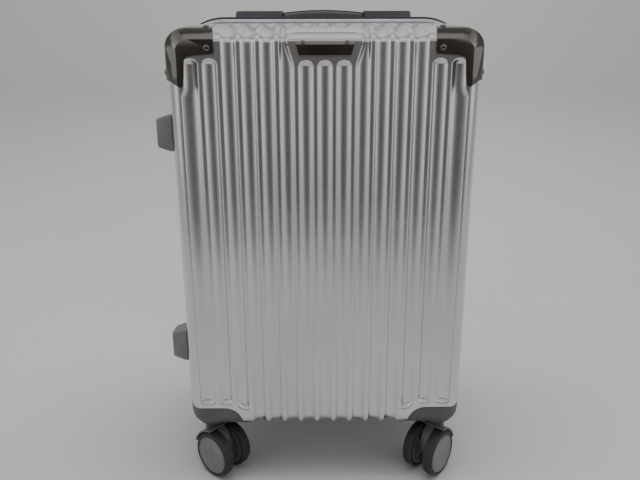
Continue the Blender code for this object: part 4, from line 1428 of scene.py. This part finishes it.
def make_stage():
    """A pale floor that curves up into a wall behind the case."""
    bend = 0.5
    wall_y = 1.15
    profile = [(-1.15, 0.0), (-0.6, 0.0), (0.0, 0.0)]
    profile += [(
        wall_y - bend + bend * math.sin(a), bend - bend * math.cos(a)
    ) for a in np.linspace(0, math.pi / 2, 17)]
    profile += [(wall_y, 4.0)]
    verts = [(x, y, z - 0.0003) for x in (-6, 6) for y, z in profile]
    n = len(profile)
    mesh = build(verts, [[i, i + 1, n + i + 1, n + i] for i in range(n - 1)])
    floor = bpy.data.objects.new("floor", mesh)
    bpy.context.scene.collection.objects.link(floor)
    mat = node_material("studio_paper", (0.52, 0.52, 0.51), 0.75, Specular_IOR_Level=0.2)
    drive(mat, "Base Color", between(mat, noise(mat, 0.8, 5), (0.49, 0.49, 0.48), (0.55, 0.55, 0.54)))
    mesh.materials.append(mat)
    mesh.shade_smooth()


def area_light(name, place, target, size, power, colour=(1, 1, 1)):
    light = bpy.data.lights.new(name, "AREA")
    light.shape = "RECTANGLE"
    light.size, light.size_y = size
    light.energy = power
    light.color = colour
    obj = bpy.data.objects.new(name, light)
    bpy.context.scene.collection.objects.link(obj)
    obj.location = place
    obj.rotation_euler = (Vector(target) - Vector(place)).to_track_quat("-Z", "Y").to_euler()
    obj.visible_glossy = False
    obj.visible_camera = False
    return obj


def make_light():
    """A soft studio: bright to the sides and half way up, dark straight ahead and dim overhead."""
    world = bpy.data.worlds.new("studio")
    world.use_nodes = True
    tree = world.node_tree
    coord = tree.nodes.new("ShaderNodeTexCoord")
    split = tree.nodes.new("ShaderNodeSeparateXYZ")
    tree.links.new(coord.outputs["Generated"], split.inputs["Vector"])
    side = tree.nodes.new("ShaderNodeMath")
    side.operation = "ABSOLUTE"
    tree.links.new(split.outputs["X"], side.inputs[0])

    def graded(value, stops):
        """A ramp of (place, level, warmth) stops."""
        ramp = tree.nodes.new("ShaderNodeValToRGB")
        ramp.color_ramp.interpolation = "EASE"
        for place, level, warmth in stops:
            stop = ramp.color_ramp.elements[0] if place == 0.0 else ramp.color_ramp.elements.new(place)
            stop.position = place
            stop.color = (level * (1 + warmth), level, level * (1 - warmth), 1)
        tree.links.new(value, ramp.inputs["Fac"])
        return ramp.outputs["Color"]

    across = (
        (0.0, 0.085, 0.12), (0.50, 0.14, 0.10), (0.78, 0.42, 0.02), (0.93, 1.15, -0.01), (1.0, 0.95, -0.01)
    )
    above = ((0.0, 0.0, 0.0), (0.22, 0.04, 0.0), (0.50, 0.75, -0.01), (0.78, 0.50, 0.0), (1.0, 0.22, 0.03))
    across, above = graded(side.outputs["Value"], across), graded(split.outputs["Z"], above)
    total = tree.nodes.new("ShaderNodeVectorMath")
    total.operation = "ADD"
    tree.links.new(across, total.inputs[0])
    tree.links.new(above, total.inputs[1])
    tree.links.new(total.outputs["Vector"], tree.nodes["Background"].inputs["Color"])
    tree.nodes["Background"].inputs["Strength"].default_value = 0.85
    bpy.context.scene.world = world
    area_light("overhead", (0.1, 0.1, 2.4), (0, 0.2, 0.3), (2.2, 1.6), 26, (0.97, 0.98, 1))
    area_light("wall_wash", (0, 0.0, 2.4), (0, 1.15, 0.9), (2.4, 0.8), 20)


# ---------------------------------------------------------------- assembly

JOINTS = {j["name"]: Vector(j.get("pos_m", (0, 0, 0))) for j in frame["joints"]}
AXES = {j["name"]: Vector(j["axis"]) for j in frame["joints"]}


def main():
    make_camera()
    make_stage()
    make_light()
    for name, side in SIDES.items():
        make_shell(side, name)
        make_piping(side, name)
        make_zip(side, name)
        make_lining(side, name)
        for hand, side_x in HANDS.items():
            make_guard(side, name, side_x, hand)
            make_housing(side, name, side_x, hand)
            make_caster(f"{name}_{hand}")
        for label in ("upper", "lower"):
            make_foot(side, name, label)
    make_badge()
    make_gusset()
    for name in ("upper", "lower"):
        make_slider(name)
    make_lock()
    for place_on in ("top", "side"):
        make_handle(place_on)
    make_trolley()
    make_straps()


main()
